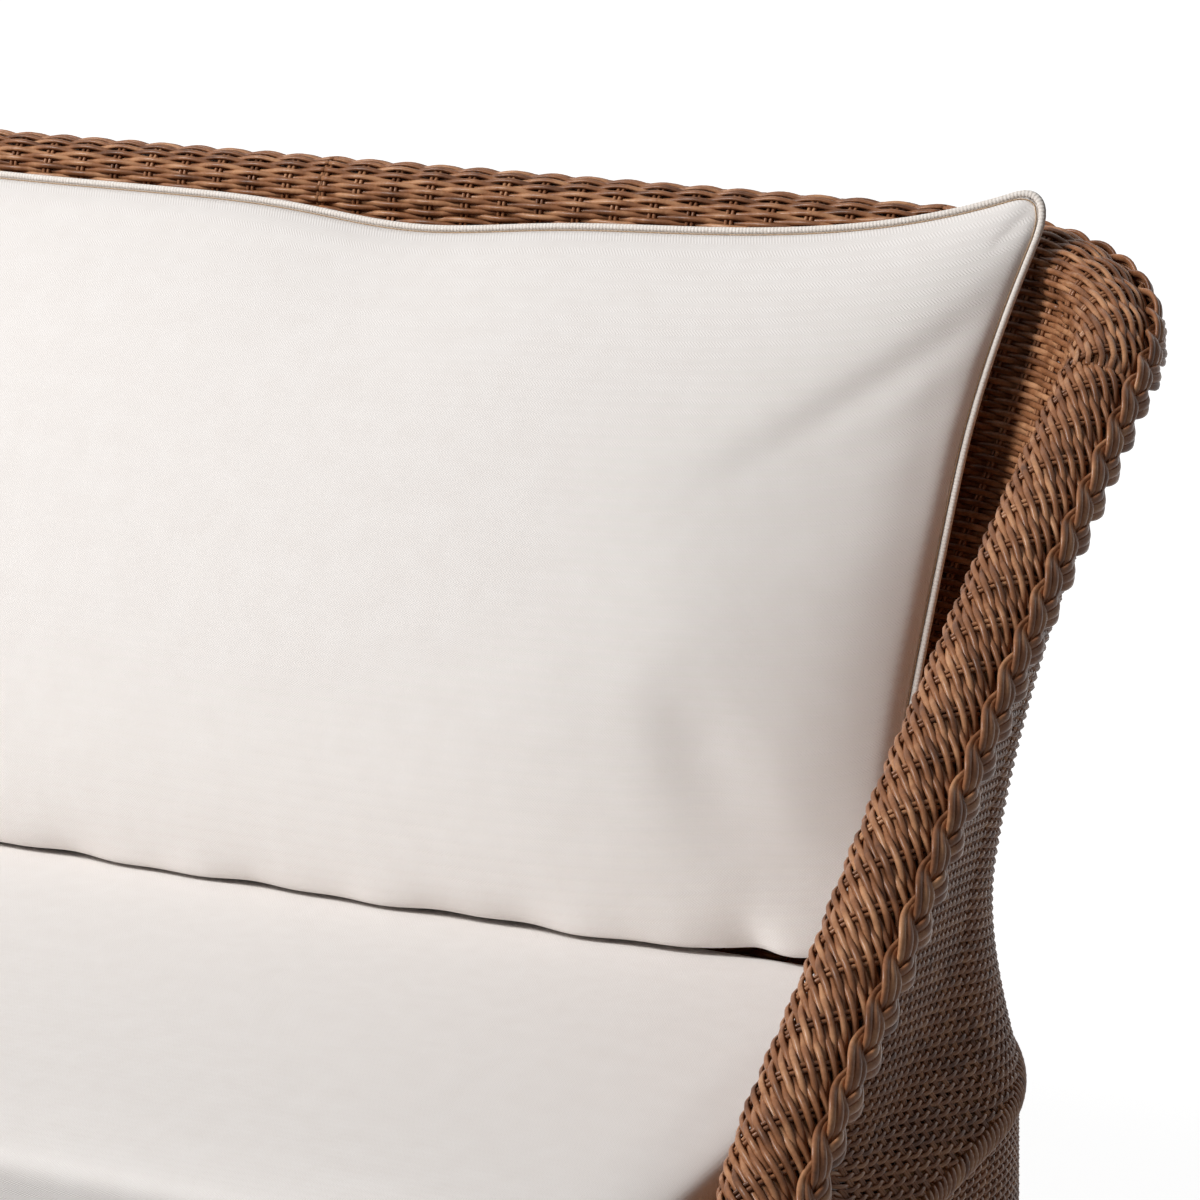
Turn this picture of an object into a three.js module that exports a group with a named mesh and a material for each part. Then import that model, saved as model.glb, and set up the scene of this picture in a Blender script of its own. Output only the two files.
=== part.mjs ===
import * as THREE from "three";

// A two-seat rattan garden sofa: a bent-pole frame, woven skins with a rolled rim,
// and loose cushions. Millimetres, +Z up, the sitter faces -Y, origin on the floor
// under the middle of the sofa.

// Driving sizes
const overallWidth = 1400;
const overallDepth = 860;
const rimCrest = 880;
const armSetback = 57;
const seatTop = 435;
const seatCushionThickness = 130;
const ridgeHeight = 390;
const gap = 0.3;
const weaveThickness = 5;
const sides = 10;

// Rim: a bent pole with the weave rolled over it and a braid on its outer edge
const rimPoleRadius = 20;
const rimWeaveThickness = 6.5;
const rimClearance = 1.3;
const rollRadius = rimPoleRadius + rimClearance + rimWeaveThickness;
const braidHeight = 26;
const braidThickness = 11;
const braidTurn = 0.1;
const rimCornerRadius = 170;
const rimFootSpread = 13;
const cornerRiseEase = 2.2;
const rollInnerTurn = Math.PI + 0.2;
const rollOuterTurn = -0.8;
const rollFootTurn = Math.PI - 0.9;
const rollSteps = 7;
const lipTurn = 0.15;
// Front-to-back share, height share and sideways share of the arm's pole, glide to corner
const armRouteShares = [
  [0.0, 0.0, 1.0],
  [0.0, 0.1355, 0.98],
  [0.01, 0.2372, 0.88],
  [0.035, 0.3389, 0.6],
  [0.09, 0.4304, 0.25],
  [0.202, 0.522, 0.0],
  [0.34, 0.5942, 0.1],
  [0.534, 0.704, 0.3],
  [0.75, 0.8149, 0.6],
  [1.0, 0.9339, 0.95],
];
// Places run along the right half: up the arm, round the back corner, along the back
const cornerStartShare = 1;
const cornerEndShare = 2;
const backMiddleShare = 3;
const backSeamShare = 0.006;
const cornerSeamShare = 0.011;
const placeStepShare = 0.004;
const leastColumnShare = 0.02;
const armSteps = 9;
const footSteps = 4;
const cornerSteps = 6;
const wallSteps = 4;
const beadSides = 8;

// Frame poles
const seatPoleRadius = 14;
const legRadius = 16;
const middleLegRadius = 12;
const postRadius = 11;
const waistPoleRadius = 9;
const basePoleRadius = 12;
const slatRadius = 10;
const slatCount = 4;
const uprightShares = [-0.62, 0, 0.62];
const glideRadius = 19;
const glideHeight = 14;
const baseRailHeight = 45;
const hoopEndShare = 1.4;
const hoopTurnShare = 0.14;
const hoopMiddleShare = 0.5;

// Seat deck and inner skin
const deckThickness = 8;
const deckEdgeStep = 1;
const innerFootSet = 38;
const innerWallLean = 299.6;
const innerFootRadius = 60;
const innerFootLift = 0.6;

// Outer skin and skirt
const skirtFootSpread = 10;
const ridgeInset = 137.6;
const ridgeCornerRadius = 300;
const ridgeBead = 8;
const braidClearance = 15;
const waistShare = 0.3;
const sideInsetShare = 0.11;
const backInsetShare = 0.03;
const outerHeadSide = 13.7;
const outerHeadDrop = 19.5;
const outerNeckDrop = 35;
const outerFrontRise = 46;
const skirtHem = 8;

// Seat cushion
const seatCushionSideGap = 6;
const seatCushionOverhang = 20;
const seatCushionCrown = 9;
const seatCushionEdgeDrop = 16;
const seatCushionCorner = 55;
const boxingBulge = 4;
const coverThickness = 1.8;
const coreSideShare = 0.95;
const edgeWidthShare = 2.2;
const faceInsetShares = [0.93, 0.6, 0.3, 0.1, 0.03, 0];
const boxingShares = [-1, -0.5, 0, 0.5, 1];
const leastCornerShare = 1 / 6;
const cornerTurnSteps = 4;
const seatLongSteps = 6;
const seatShortSteps = 3;
const pillowLongSteps = 10;
const pillowShortSteps = 4;
const zipWidth = 10;
const zipThickness = 1.6;

// Back cushion: a knife-edged pillow, its piped seam leaning a little off the back wall
const pillowTopDrop = 24;
const pillowEarRise = 68;
const pillowEarPower = 3;
const pillowSideGap = 30;
const pillowSidePinch = 0.045;
const pillowCorner = 30;
const pillowFootHeight = 17;
const pillowTopSet = 50;
const pillowFootSet = 84;
const pillowSetPower = 1.8;
const pillowFrontTop = 70;
const pillowFrontFoot = 126;
const pillowRear = 32;
const pillowDomePower = 3;
const pillowDroopShare = 0.55;
const pillowDroopPower = 6;
const pillowCoreGap = 0.6;
const pipingRadius = 2.8;
const pipingSides = 6;

const deckTop = seatTop - seatCushionThickness;
const deckBottom = deckTop - deckThickness;
const railTop = deckBottom - gap;
const seatRailHeight = railTop - seatPoleRadius;
const braidReach = (rollRadius + gap + braidThickness / 2) * Math.cos(braidTurn)
  + Math.hypot(
    braidThickness / 2 * Math.cos(braidTurn),
    braidHeight / 2 * Math.sin(braidTurn),
  );
const rimFront = -overallDepth / 2 + rollRadius;
const rimBack = overallDepth / 2 - braidReach;
const rimTop = rimCrest - rollRadius;
const rimArcStart = rimBack - rimCornerRadius;
const armHalfWidth = overallWidth / 2 - armSetback;
const innerFootHalfWidth = armHalfWidth - innerFootSet;
const innerFootBack = rimBack - innerWallLean;
const ridgeHalfWidth = overallWidth / 2 - skirtFootSpread;
const ridgeBack = rimBack - ridgeInset;
const armFootHeight = glideHeight + gap;
const quarter = Math.PI / 2;
const fullTurn = Math.PI * 2;

// Finishes
const finish = (color, roughness, metalness = 0) =>
  new THREE.MeshStandardMaterial({ color, roughness, metalness });
const poleFinish = () => finish(0x9c7350, 0.6);
const reedFinish = () => finish(0x8e6547, 0.55);
const braidFinish = () => finish(0x9a6f50, 0.5);
const clothFinish = () => finish(0xece4dc, 0.9);
const fillFinish = () => finish(0xd9d9cf, 0.95);
const rubberFinish = () => finish(0x2b2521, 0.8);
const zipFinish = () => finish(0xc9c2b8, 0.6);

const sofa = new THREE.Group();
const vector = (x, y, z) => new THREE.Vector3(x, y, z);
const mirrored = (point) => vector(-point.x, point.y, point.z);
const mirroredAll = (lists) => lists.map((list) => list.map(mirrored));
const mix = (low, high, share) => low + (high - low) * share;
const sharesOf = (count) => Array.from({ length: count + 1 }, (unused, index) => index / count);

function addPiece(name, geometry, material) {
  const mesh = new THREE.Mesh(geometry, material);
  mesh.name = name;
  sofa.add(mesh);
}

// Geometry helpers

function closedSurface(points, faces) {
  const positions = new Float32Array(points.length * 3);
  points.forEach((point, index) => point.toArray(positions, index * 3));
  const volume = faces.reduce((sum, [a, b, c]) => {
    const cross = vector(0, 0, 0).crossVectors(points[b], points[c]);
    return sum + points[a].dot(cross);
  }, 0);
  const outward = volume > 0 ? faces : faces.map(([a, b, c]) => [a, c, b]);
  const geometry = new THREE.BufferGeometry();
  geometry.setAttribute("position", new THREE.BufferAttribute(positions, 3));
  geometry.setIndex(outward.flat());
  geometry.computeVertexNormals();
  return geometry;
}

// A panel of even thickness on a grid of points; a negative thickness lies on the near side.
// Given directions for the thickness, point by point, replace the surface's own normals.
function panel(columns, thickness, directions) {
  const across = columns.length;
  const along = columns[0].length;
  const far = columns.map((column, i) => column.map((point, j) => {
    const sideways = columns[Math.min(i + 1, across - 1)][j].clone()
      .sub(columns[Math.max(i - 1, 0)][j]);
    const upwards = column[Math.min(j + 1, along - 1)].clone()
      .sub(column[Math.max(j - 1, 0)]);
    const normal = directions ? directions[i][j] : sideways.cross(upwards).normalize();
    return point.clone().addScaledVector(normal, thickness);
  }));
  const points = columns.flat().concat(far.flat());
  const shift = across * along;
  const at = (i, j) => i * along + j;
  const faces = [];
  const quad = (a, b, c, d) => faces.push([a, b, c], [a, c, d]);
  for (let i = 0; i + 1 < across; i += 1) {
    for (let j = 0; j + 1 < along; j += 1) {
      quad(at(i, j), at(i + 1, j), at(i + 1, j + 1), at(i, j + 1));
      quad(shift + at(i, j), shift + at(i, j + 1), shift + at(i + 1, j + 1), shift + at(i + 1, j));
    }
  }
  const last = along - 1;
  const end = across - 1;
  for (let i = 0; i < end; i += 1) {
    quad(at(i + 1, 0), at(i, 0), shift + at(i, 0), shift + at(i + 1, 0));
    quad(at(i, last), at(i + 1, last), shift + at(i + 1, last), shift + at(i, last));
  }
  for (let j = 0; j < last; j += 1) {
    quad(at(0, j), at(0, j + 1), shift + at(0, j + 1), shift + at(0, j));
    quad(at(end, j + 1), at(end, j), shift + at(end, j), shift + at(end, j + 1));
  }
  return closedSurface(points, faces);
}

// A closed body through rings of an even number of points, capped or joined end to end
function ringBody(rings, joined = false) {
  const count = rings[0].length;
  const faces = [];
  const spans = joined ? rings.length : rings.length - 1;
  for (let i = 0; i < spans; i += 1) {
    const next = (i + 1) % rings.length;
    for (let j = 0; j < count; j += 1) {
      const turn = (j + 1) % count;
      faces.push([i * count + j, next * count + j, next * count + turn]);
      faces.push([i * count + j, next * count + turn, i * count + turn]);
    }
  }
  if (!joined) {
    const last = (rings.length - 1) * count;
    for (let j = 0; j + 1 < count / 2; j += 1) {
      const [a, b, c, d] = [j, j + 1, count - 2 - j, count - 1 - j];
      faces.push([a, b, c], [a, c, d]);
      faces.push([last + a, last + c, last + b], [last + a, last + d, last + c]);
    }
  }
  return closedSurface(rings.flat(), faces);
}

function straightPole(from, to, radius) {
  const direction = to.clone().sub(from);
  const geometry = new THREE.CylinderGeometry(radius, radius, direction.length(), sides);
  const turn = new THREE.Quaternion().setFromUnitVectors(
    vector(0, 1, 0),
    direction.clone().normalize(),
  );
  geometry.applyQuaternion(turn);
  const middle = from.clone().add(to).multiplyScalar(0.5);
  geometry.translate(middle.x, middle.y, middle.z);
  return geometry;
}

const smoothCurve = (points) => new THREE.CatmullRomCurve3(points, false, "centripetal");

const armRoute = smoothCurve(armRouteShares.map(([run, rise, spread]) => vector(
  armHalfWidth + rimFootSpread * spread,
  mix(rimFront, rimArcStart, run),
  mix(armFootHeight, rimTop, rise),
)));
const armEnd = armRoute.getPointAt(1);

function outwardNormal(place) {
  if (place <= cornerStartShare) return vector(1, 0, 0);
  const angle = Math.min(place - cornerStartShare, 1) * quarter;
  return vector(Math.cos(angle), Math.sin(angle), 0);
}

// A rounded plan: straight side, quarter circle, straight back
function planPoint(place, half, back, radius, front, height) {
  const arcCentreX = half - radius;
  const arcCentreY = back - radius;
  if (place <= cornerStartShare) return vector(half, mix(front, arcCentreY, place), height);
  if (place >= cornerEndShare) return vector(arcCentreX * (backMiddleShare - place), back, height);
  const angle = (place - cornerStartShare) * quarter;
  return vector(
    arcCentreX + radius * Math.cos(angle),
    arcCentreY + radius * Math.sin(angle),
    height,
  );
}

function rimCentre(place) {
  if (place <= cornerStartShare) return armRoute.getPointAt(place);
  const rest = Math.max(cornerEndShare - place, 0);
  const height = mix(rimTop, armEnd.z, rest ** cornerRiseEase);
  return planPoint(place, armEnd.x, rimBack, rimCornerRadius, rimFront, height);
}

function rimFrame(place) {
  const along = rimCentre(Math.min(place + placeStepShare, backMiddleShare))
    .sub(rimCentre(Math.max(place - placeStepShare, 0)))
    .normalize();
  const top = vector(0, 0, 0).crossVectors(outwardNormal(place), along).normalize();
  const side = vector(0, 0, 0).crossVectors(along, top).normalize();
  return { centre: rimCentre(place), side, top };
}

function rimPoint(place, turn, radius) {
  const { centre, side, top } = rimFrame(place);
  return centre
    .addScaledVector(side, radius * Math.cos(turn))
    .addScaledVector(top, radius * Math.sin(turn));
}

// A point beside the rim pole, in the pole's own frame
function besideRim(place, sideways, drop) {
  const { centre, side, top } = rimFrame(place);
  return centre.addScaledVector(side, sideways).addScaledVector(top, -drop);
}

// The place on the arm where a line at some drop behind the rim pole passes a height
function armPlaceAt(height, drop = 0) {
  let low = 0;
  let high = 1;
  const halvings = 30;
  for (let i = 0; i < halvings; i += 1) {
    const middle = (low + high) / 2;
    if (besideRim(middle, 0, drop).z < height) low = middle;
    else high = middle;
  }
  return (low + high) / 2;
}

const rimAtHeight = (height) => armRoute.getPointAt(armPlaceAt(height));
const behindRimAt = (height, drop) => besideRim(armPlaceAt(height, drop), 0, drop);

// How far along the arm's run a place is, front to corner
function runAt(place) {
  if (place >= cornerStartShare) return place;
  return (rimCentre(place).y - rimFront) / (rimArcStart - rimFront);
}

function innerFoot(place) {
  return planPoint(runAt(place), innerFootHalfWidth, innerFootBack, innerFootRadius,
    rimFront, railTop + innerFootLift);
}

const outerStart = armPlaceAt(ridgeHeight + outerFrontRise);
const outerFront = besideRim(outerStart, outerHeadSide, outerNeckDrop).y;

function ridgePoint(place) {
  const startRun = runAt(outerStart);
  const run = place >= cornerStartShare ? place : (runAt(place) - startRun) / (1 - startRun);
  return planPoint(run, ridgeHalfWidth, ridgeBack, ridgeCornerRadius,
    outerFront, ridgeHeight + gap);
}

const footPlace = armPlaceAt(deckTop);
const fullPlace = armPlaceAt(deckTop + rollRadius * 2);

// The inner skin's profile: up from the deck, then rolled over the rim pole
function innerProfile(place) {
  const rise = THREE.MathUtils.smoothstep(place, footPlace, fullPlace);
  const startTurn = mix(rollFootTurn, rollInnerTurn, rise);
  const roll = sharesOf(rollSteps)
    .map((share) => rimPoint(place, mix(startTurn, rollOuterTurn, share), rollRadius));
  const lip = rimPoint(place, startTurn + lipTurn, rollRadius);
  const bottom = lip.clone().lerp(innerFoot(place), rise);
  return [bottom, bottom.clone().lerp(roll[0], 0.5), ...roll];
}

// Where the inner skin's thickness lies: towards the pole on the roll, outwards below it
function innerDirections(place) {
  const points = innerProfile(place);
  const centre = rimCentre(place);
  const rise = THREE.MathUtils.smoothstep(place, footPlace, fullPlace);
  const toPole = (point) => centre.clone().sub(point).normalize();
  const lowWays = points.slice(0, 2)
    .map((point) => toPole(point).lerp(outwardNormal(place), rise).normalize());
  return [...lowWays, ...points.slice(2).map(toPole)];
}

// The outer skin's profile: from the ridge in to the waist, then up under the rim
function outerProfile(place) {
  const foot = ridgePoint(place);
  const neck = besideRim(place, outerHeadSide, outerNeckDrop);
  const cornerShare = THREE.MathUtils.clamp(place - cornerStartShare, 0, 1);
  const inset = mix(sideInsetShare, backInsetShare, cornerShare) * (neck.z - foot.z);
  const wall = sharesOf(wallSteps).map((share) => {
    const bend = share < waistShare ? share / waistShare : (1 - share) / (1 - waistShare);
    return foot.clone().lerp(neck, share)
      .addScaledVector(outwardNormal(place), -inset * Math.sin(bend * quarter));
  });
  return wall.concat([besideRim(place, outerHeadSide, outerHeadDrop)]);
}

const backStart = cornerEndShare + backSeamShare;
const armPlaces = [0, footPlace / 2]
  .concat(sharesOf(footSteps).map((share) => mix(footPlace, fullPlace, share)))
  .concat(sharesOf(armSteps).slice(1).map((share) => mix(fullPlace, cornerStartShare, share)));
const cornerPlaces = sharesOf(cornerSteps).slice(1).map((share) => cornerStartShare + share);
const sidePlaces = armPlaces.concat(cornerPlaces);
const backHalfway = (cornerEndShare + backMiddleShare) / 2;
const backPlaces = [backStart, backHalfway, backMiddleShare];

function backColumns(profile) {
  const right = backPlaces.map(profile);
  return right.concat(mirroredAll(right.slice(0, -1).reverse()));
}

// A skin on the right side and its mirror image on the left
function addSidePair(name, places, profile, thickness, ways) {
  const columns = places.map(profile);
  const right = ways && places.map(ways);
  const left = ways && mirroredAll(right).map((list) => list.map((way) => way.negate()));
  addPiece(`${name}_right`, panel(columns, thickness, right), reedFinish());
  addPiece(`${name}_left`, panel(mirroredAll(columns), -thickness, left), reedFinish());
}

function addBackSkin(name, profile, thickness, ways) {
  const level = ways && backColumns(ways);
  addPiece(`${name}_back`, panel(backColumns(profile), thickness, level), reedFinish());
}

function addBead(name, sidePlacesUsed, ring) {
  const rings = sidePlacesUsed.map(ring);
  const backRings = [backStart, backMiddleShare].map(ring);
  const farRing = ring(backStart).map(mirrored);
  addPiece(`${name}_right`, ringBody(rings), braidFinish());
  addPiece(`${name}_left`, ringBody(mirroredAll(rings)), braidFinish());
  addPiece(`${name}_back`, ringBody(backRings.concat([farRing])), braidFinish());
}

// Skirt front edges follow the arm's rim; the skirt spreads a little to the floor
function skirtPoint(place, height, reach = 0) {
  const share = 1 - height / ridgeHeight;
  const spread = skirtFootSpread * share + reach;
  const front = behindRimAt(height, braidClearance).y;
  return planPoint(place, ridgeHalfWidth + spread, ridgeBack + spread,
    ridgeCornerRadius + spread, front, height);
}

const skirtTop = ridgeHeight - ridgeBead * 2 - gap;
const skirtProfile = (place) => sharesOf(wallSteps)
  .map((share) => skirtPoint(place, mix(skirtHem, skirtTop, share)));

function ridgeRing(place) {
  return sharesOf(beadSides).slice(1).map((share) => {
    const turn = share * fullTurn;
    const centre = skirtPoint(place, ridgeHeight - ridgeBead, -weaveThickness / 2);
    return centre
      .addScaledVector(outwardNormal(place), ridgeBead * Math.cos(turn))
      .add(vector(0, 0, ridgeBead * Math.sin(turn)));
  });
}

function braidRing(place) {
  const { side, top } = rimFrame(place);
  const reach = rollRadius + gap + braidThickness / 2;
  const middle = rimPoint(place, braidTurn, reach);
  const radial = side.clone().multiplyScalar(Math.cos(braidTurn))
    .addScaledVector(top, Math.sin(braidTurn));
  const around = side.clone().multiplyScalar(-Math.sin(braidTurn))
    .addScaledVector(top, Math.cos(braidTurn));
  return sharesOf(beadSides).slice(1).map((share) => {
    const turn = share * fullTurn;
    return middle.clone()
      .addScaledVector(radial, braidThickness / 2 * Math.cos(turn))
      .addScaledVector(around, braidHeight / 2 * Math.sin(turn));
  });
}

// Woven skins: inner wall and rim in one run, outer wall, skirt, ridge and braid

const outerPlaces = [outerStart]
  .concat(sidePlaces.filter((place) => place > outerStart + leastColumnShare));
const skirtPlaces = [0, cornerStartShare / 2, cornerStartShare].concat(cornerPlaces);
const innerCornerPlaces = [cornerStartShare + cornerSeamShare].concat(cornerPlaces);
const outerDirections = (place) => outerProfile(place).map(() => outwardNormal(place));
addSidePair("inner_weave_arm", armPlaces, innerProfile, rimWeaveThickness, innerDirections);
addSidePair(
  "inner_weave_corner",
  innerCornerPlaces,
  innerProfile,
  rimWeaveThickness,
  innerDirections,
);
addBackSkin("inner_weave", innerProfile, rimWeaveThickness, innerDirections);
addSidePair("outer_weave", outerPlaces, outerProfile, -weaveThickness, outerDirections);
addBackSkin("outer_weave", outerProfile, -weaveThickness, outerDirections);
addSidePair("skirt_weave", skirtPlaces, skirtProfile, -weaveThickness);
addBackSkin("skirt_weave", skirtProfile, -weaveThickness);
addBead("ridge_wale", skirtPlaces, ridgeRing);
addBead("rim_braid", sidePlaces, braidRing);

// Front apron between the arm feet and the deck that carries the seat cushion

const apronHeights = sharesOf(cornerSteps).map((share) => mix(skirtHem, deckTop, share));
const apronSet = rollRadius * Math.cos(rollFootTurn + lipTurn) - gap * 2;
const apronHalfWidth = rimAtHeight(deckTop).x + apronSet;
const rollFrontReach = rollRadius * Math.sin(rollFootTurn);
const apronColumn = (x) => apronHeights
  .map((height) => vector(x, rimAtHeight(height).y - rollFrontReach, height));
addPiece(
  "apron_weave",
  panel([-apronHalfWidth, 0, apronHalfWidth].map(apronColumn), -weaveThickness),
  reedFinish(),
);

const apronBackAt = (height) => rimAtHeight(height).y - rollFrontReach + weaveThickness;
const deckFront = apronBackAt(deckTop) + gap * 2;
const deckEdge = sidePlaces
  .map((place) => planPoint(place, innerFootHalfWidth - gap * 2, innerFootBack - gap * 2,
    innerFootRadius - gap * 2, deckFront, deckBottom))
  .filter((point, index) => index === 0 || point.y > deckFront + deckEdgeStep);
const deckOutline = deckEdge.concat(deckEdge.map(mirrored).reverse());
const deckShape = new THREE.Shape(deckOutline.map(({ x, y }) => new THREE.Vector2(x, y)));
const deckPlate = new THREE.ExtrudeGeometry(deckShape, {
  depth: deckThickness,
  bevelEnabled: false,
});
deckPlate.translate(0, 0, deckBottom);
addPiece("seat_deck", deckPlate, reedFinish());

// Frame: bent rim poles, the poles that carry the deck, uprights, and base rails

const turnsRound = sharesOf(sides).slice(1).map((share) => share * fullTurn);
const poleRing = (place) => turnsRound.map((turn) => rimPoint(place, turn, rimPoleRadius));
const armRings = armPlaces.map(poleRing);
addPiece("arm_rail_right", ringBody(armRings), poleFinish());
addPiece("arm_rail_left", ringBody(mirroredAll(armRings)), poleFinish());

function wholeLoop(rings) {
  return rings.concat(mirroredAll(rings.slice(0, -1).reverse()));
}

const endRing = armRings[armRings.length - 1];
const jointFrame = rimFrame(cornerStartShare);
const jointShift = vector(0, 0, 0)
  .crossVectors(jointFrame.top, jointFrame.side)
  .multiplyScalar(gap * 2);
const halfBackRings = [endRing.map((point) => point.clone().add(jointShift))]
  .concat(cornerPlaces.concat([backHalfway, backMiddleShare]).map(poleRing));
addPiece("back_rail", ringBody(wholeLoop(halfBackRings)), poleFinish());

const frontRailY = apronBackAt(deckBottom) + gap * 2 + seatPoleRadius;
const rearRailY = innerFootBack + seatPoleRadius;
const frontRailEnd = rimAtHeight(railTop).x - rimPoleRadius - gap;
const legX = innerFootHalfWidth - legRadius;
const addStraight = (name, from, to, radius) =>
  addPiece(name, straightPole(vector(...from), vector(...to), radius), poleFinish());

addStraight(
  "seat_rail_front",
  [-frontRailEnd, frontRailY, seatRailHeight],
  [frontRailEnd, frontRailY, seatRailHeight],
  seatPoleRadius,
);
const rearRailEnd = legX - legRadius - gap;
addStraight(
  "seat_rail_rear",
  [-rearRailEnd, rearRailY, seatRailHeight],
  [rearRailEnd, rearRailY, seatRailHeight],
  seatPoleRadius,
);
for (const [word, sign] of [["right", 1], ["left", -1]]) {
  addStraight(
    `seat_rail_${word}`,
    [sign * legX, frontRailY + seatPoleRadius + gap, seatRailHeight],
    [sign * legX, rearRailY - legRadius - gap, seatRailHeight],
    seatPoleRadius,
  );
  addStraight(
    `rear_leg_${word}`,
    [sign * legX, rearRailY, glideHeight + gap],
    [sign * legX, rearRailY, railTop],
    legRadius,
  );
}

const slatHeight = railTop - slatRadius;
for (let i = 1; i <= slatCount; i += 1) {
  const x = mix(-legX, legX, i / (slatCount + 1));
  addStraight(
    `seat_slat_${i}`,
    [x, frontRailY + seatPoleRadius + gap, slatHeight],
    [x, rearRailY - seatPoleRadius - gap, slatHeight],
    slatRadius,
  );
}

// Uprights lie against the back of the inner skin, from the rear seat rail to the rim pole
const backSkin = innerProfile(backMiddleShare);
const uprightLine = backSkin[2].clone().sub(backSkin[0]).normalize();
const uprightNormal = vector(0, uprightLine.z, -uprightLine.y);
const uprightBase = backSkin[0].clone()
  .addScaledVector(uprightNormal, rimWeaveThickness + gap + postRadius);
const uprightLow = railTop + gap + postRadius * uprightLine.y;
const uprightStart = uprightBase.clone()
  .addScaledVector(uprightLine, (uprightLow - uprightBase.z) / uprightLine.z);
const uprightReach = rimCentre(backMiddleShare).sub(uprightStart).dot(uprightLine)
  - rimPoleRadius - gap;
const uprightEnd = uprightStart.clone().addScaledVector(uprightLine, uprightReach);
uprightShares.forEach((share, index) => addStraight(
  `back_upright_${index + 1}`,
  [share * rearRailEnd, uprightStart.y, uprightStart.z],
  [share * rearRailEnd, uprightEnd.y, uprightEnd.z],
  postRadius,
));

const frontBaseY = apronBackAt(baseRailHeight + basePoleRadius) + gap + basePoleRadius;
const frontBaseEnd = rimAtHeight(baseRailHeight).x - rimPoleRadius - gap;
addStraight(
  "base_rail_front",
  [-frontBaseEnd, frontBaseY, baseRailHeight],
  [frontBaseEnd, frontBaseY, baseRailHeight],
  basePoleRadius,
);

// A pole bent round the sides and back inside the skirt, its ends turned in to the arm poles
function hoop(height, radius, inward) {
  const arm = rimAtHeight(height + radius);
  const start = vector(arm.x, arm.y + rimPoleRadius * hoopEndShare + gap, height);
  const ringAt = (centre, normal) => turnsRound.map((turn) => centre.clone()
    .addScaledVector(normal, radius * Math.cos(turn))
    .add(vector(0, 0, radius * Math.sin(turn))));
  const places = [hoopTurnShare, hoopMiddleShare, cornerStartShare, ...cornerPlaces, backMiddleShare];
  const rings = places.map((place) =>
    ringAt(skirtPoint(place, height, -inward - radius), outwardNormal(place)));
  return ringBody(wholeLoop([ringAt(start, outwardNormal(0)), ...rings]));
}

const baseInward = weaveThickness + gap;
addPiece("base_rail_back", hoop(baseRailHeight, basePoleRadius, baseInward), poleFinish());
const waistHeight = ridgeHeight - ridgeBead;
const waistInward = weaveThickness / 2 + ridgeBead + gap;
addPiece("waist_rail", hoop(waistHeight, waistPoleRadius, waistInward), poleFinish());

// Rubber glides under the arm poles' feet and the rear legs, and two middle legs
function addGlide(name, x, y) {
  const from = vector(x, y, 0);
  addPiece(name, straightPole(from, vector(x, y, glideHeight), glideRadius), rubberFinish());
}

const armFoot = armRoute.getPointAt(0);
for (const [word, sign] of [["right", 1], ["left", -1]]) {
  addGlide(`glide_front_${word}`, sign * armFoot.x, armFoot.y);
  addGlide(`glide_rear_${word}`, sign * legX, rearRailY);
}
const middleFrontY = frontBaseY + basePoleRadius + gap + middleLegRadius;
for (const [word, y] of [["front", middleFrontY], ["rear", rearRailY]]) {
  addStraight(
    `middle_leg_${word}`,
    [0, y, glideHeight + gap],
    [0, y, seatRailHeight - seatPoleRadius - gap],
    middleLegRadius,
  );
  addGlide(`glide_middle_${word}`, 0, y);
}

// Cushions

// A rounded rectangle round the origin, inset from its full size
function roundedOutline({ long: fullLong, short: fullShort, radius, longSteps, shortSteps }, inset) {
  const long = fullLong - inset;
  const short = fullShort - inset;
  const corner = Math.max(radius - inset, radius * leastCornerShare);
  const points = [];
  const corners = [[1, 1, 0], [-1, 1, 1], [-1, -1, 2], [1, -1, 3]];
  corners.forEach(([signX, signY, turns], index) => {
    sharesOf(cornerTurnSteps).forEach((share) => {
      const angle = (turns + share) * quarter;
      points.push([
        signX * (long - corner) + corner * Math.cos(angle),
        signY * (short - corner) + corner * Math.sin(angle),
      ]);
    });
    const next = corners[(index + 1) % corners.length];
    const [lastX, lastY] = points[points.length - 1];
    const angle = next[2] * quarter;
    const toX = next[0] * (long - corner) + corner * Math.cos(angle);
    const toY = next[1] * (short - corner) + corner * Math.sin(angle);
    const between = sharesOf(signY === next[1] ? longSteps : shortSteps);
    between.slice(1, -1).forEach((share) => {
      points.push([mix(lastX, toX, share), mix(lastY, toY, share)]);
    });
  });
  return points;
}

// Height of a cushion's crowned face over its middle plane, at an inset from the seam
function faceHeight({ short, thickness, crown, edgeDrop }, inset) {
  const rest = Math.max(1 - inset / (edgeDrop * edgeWidthShare), 0);
  const drop = edgeDrop * (1 - Math.sqrt(1 - rest * rest));
  return thickness / 2 - drop + crown * (1 - (1 - inset / short) ** 2);
}

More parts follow.
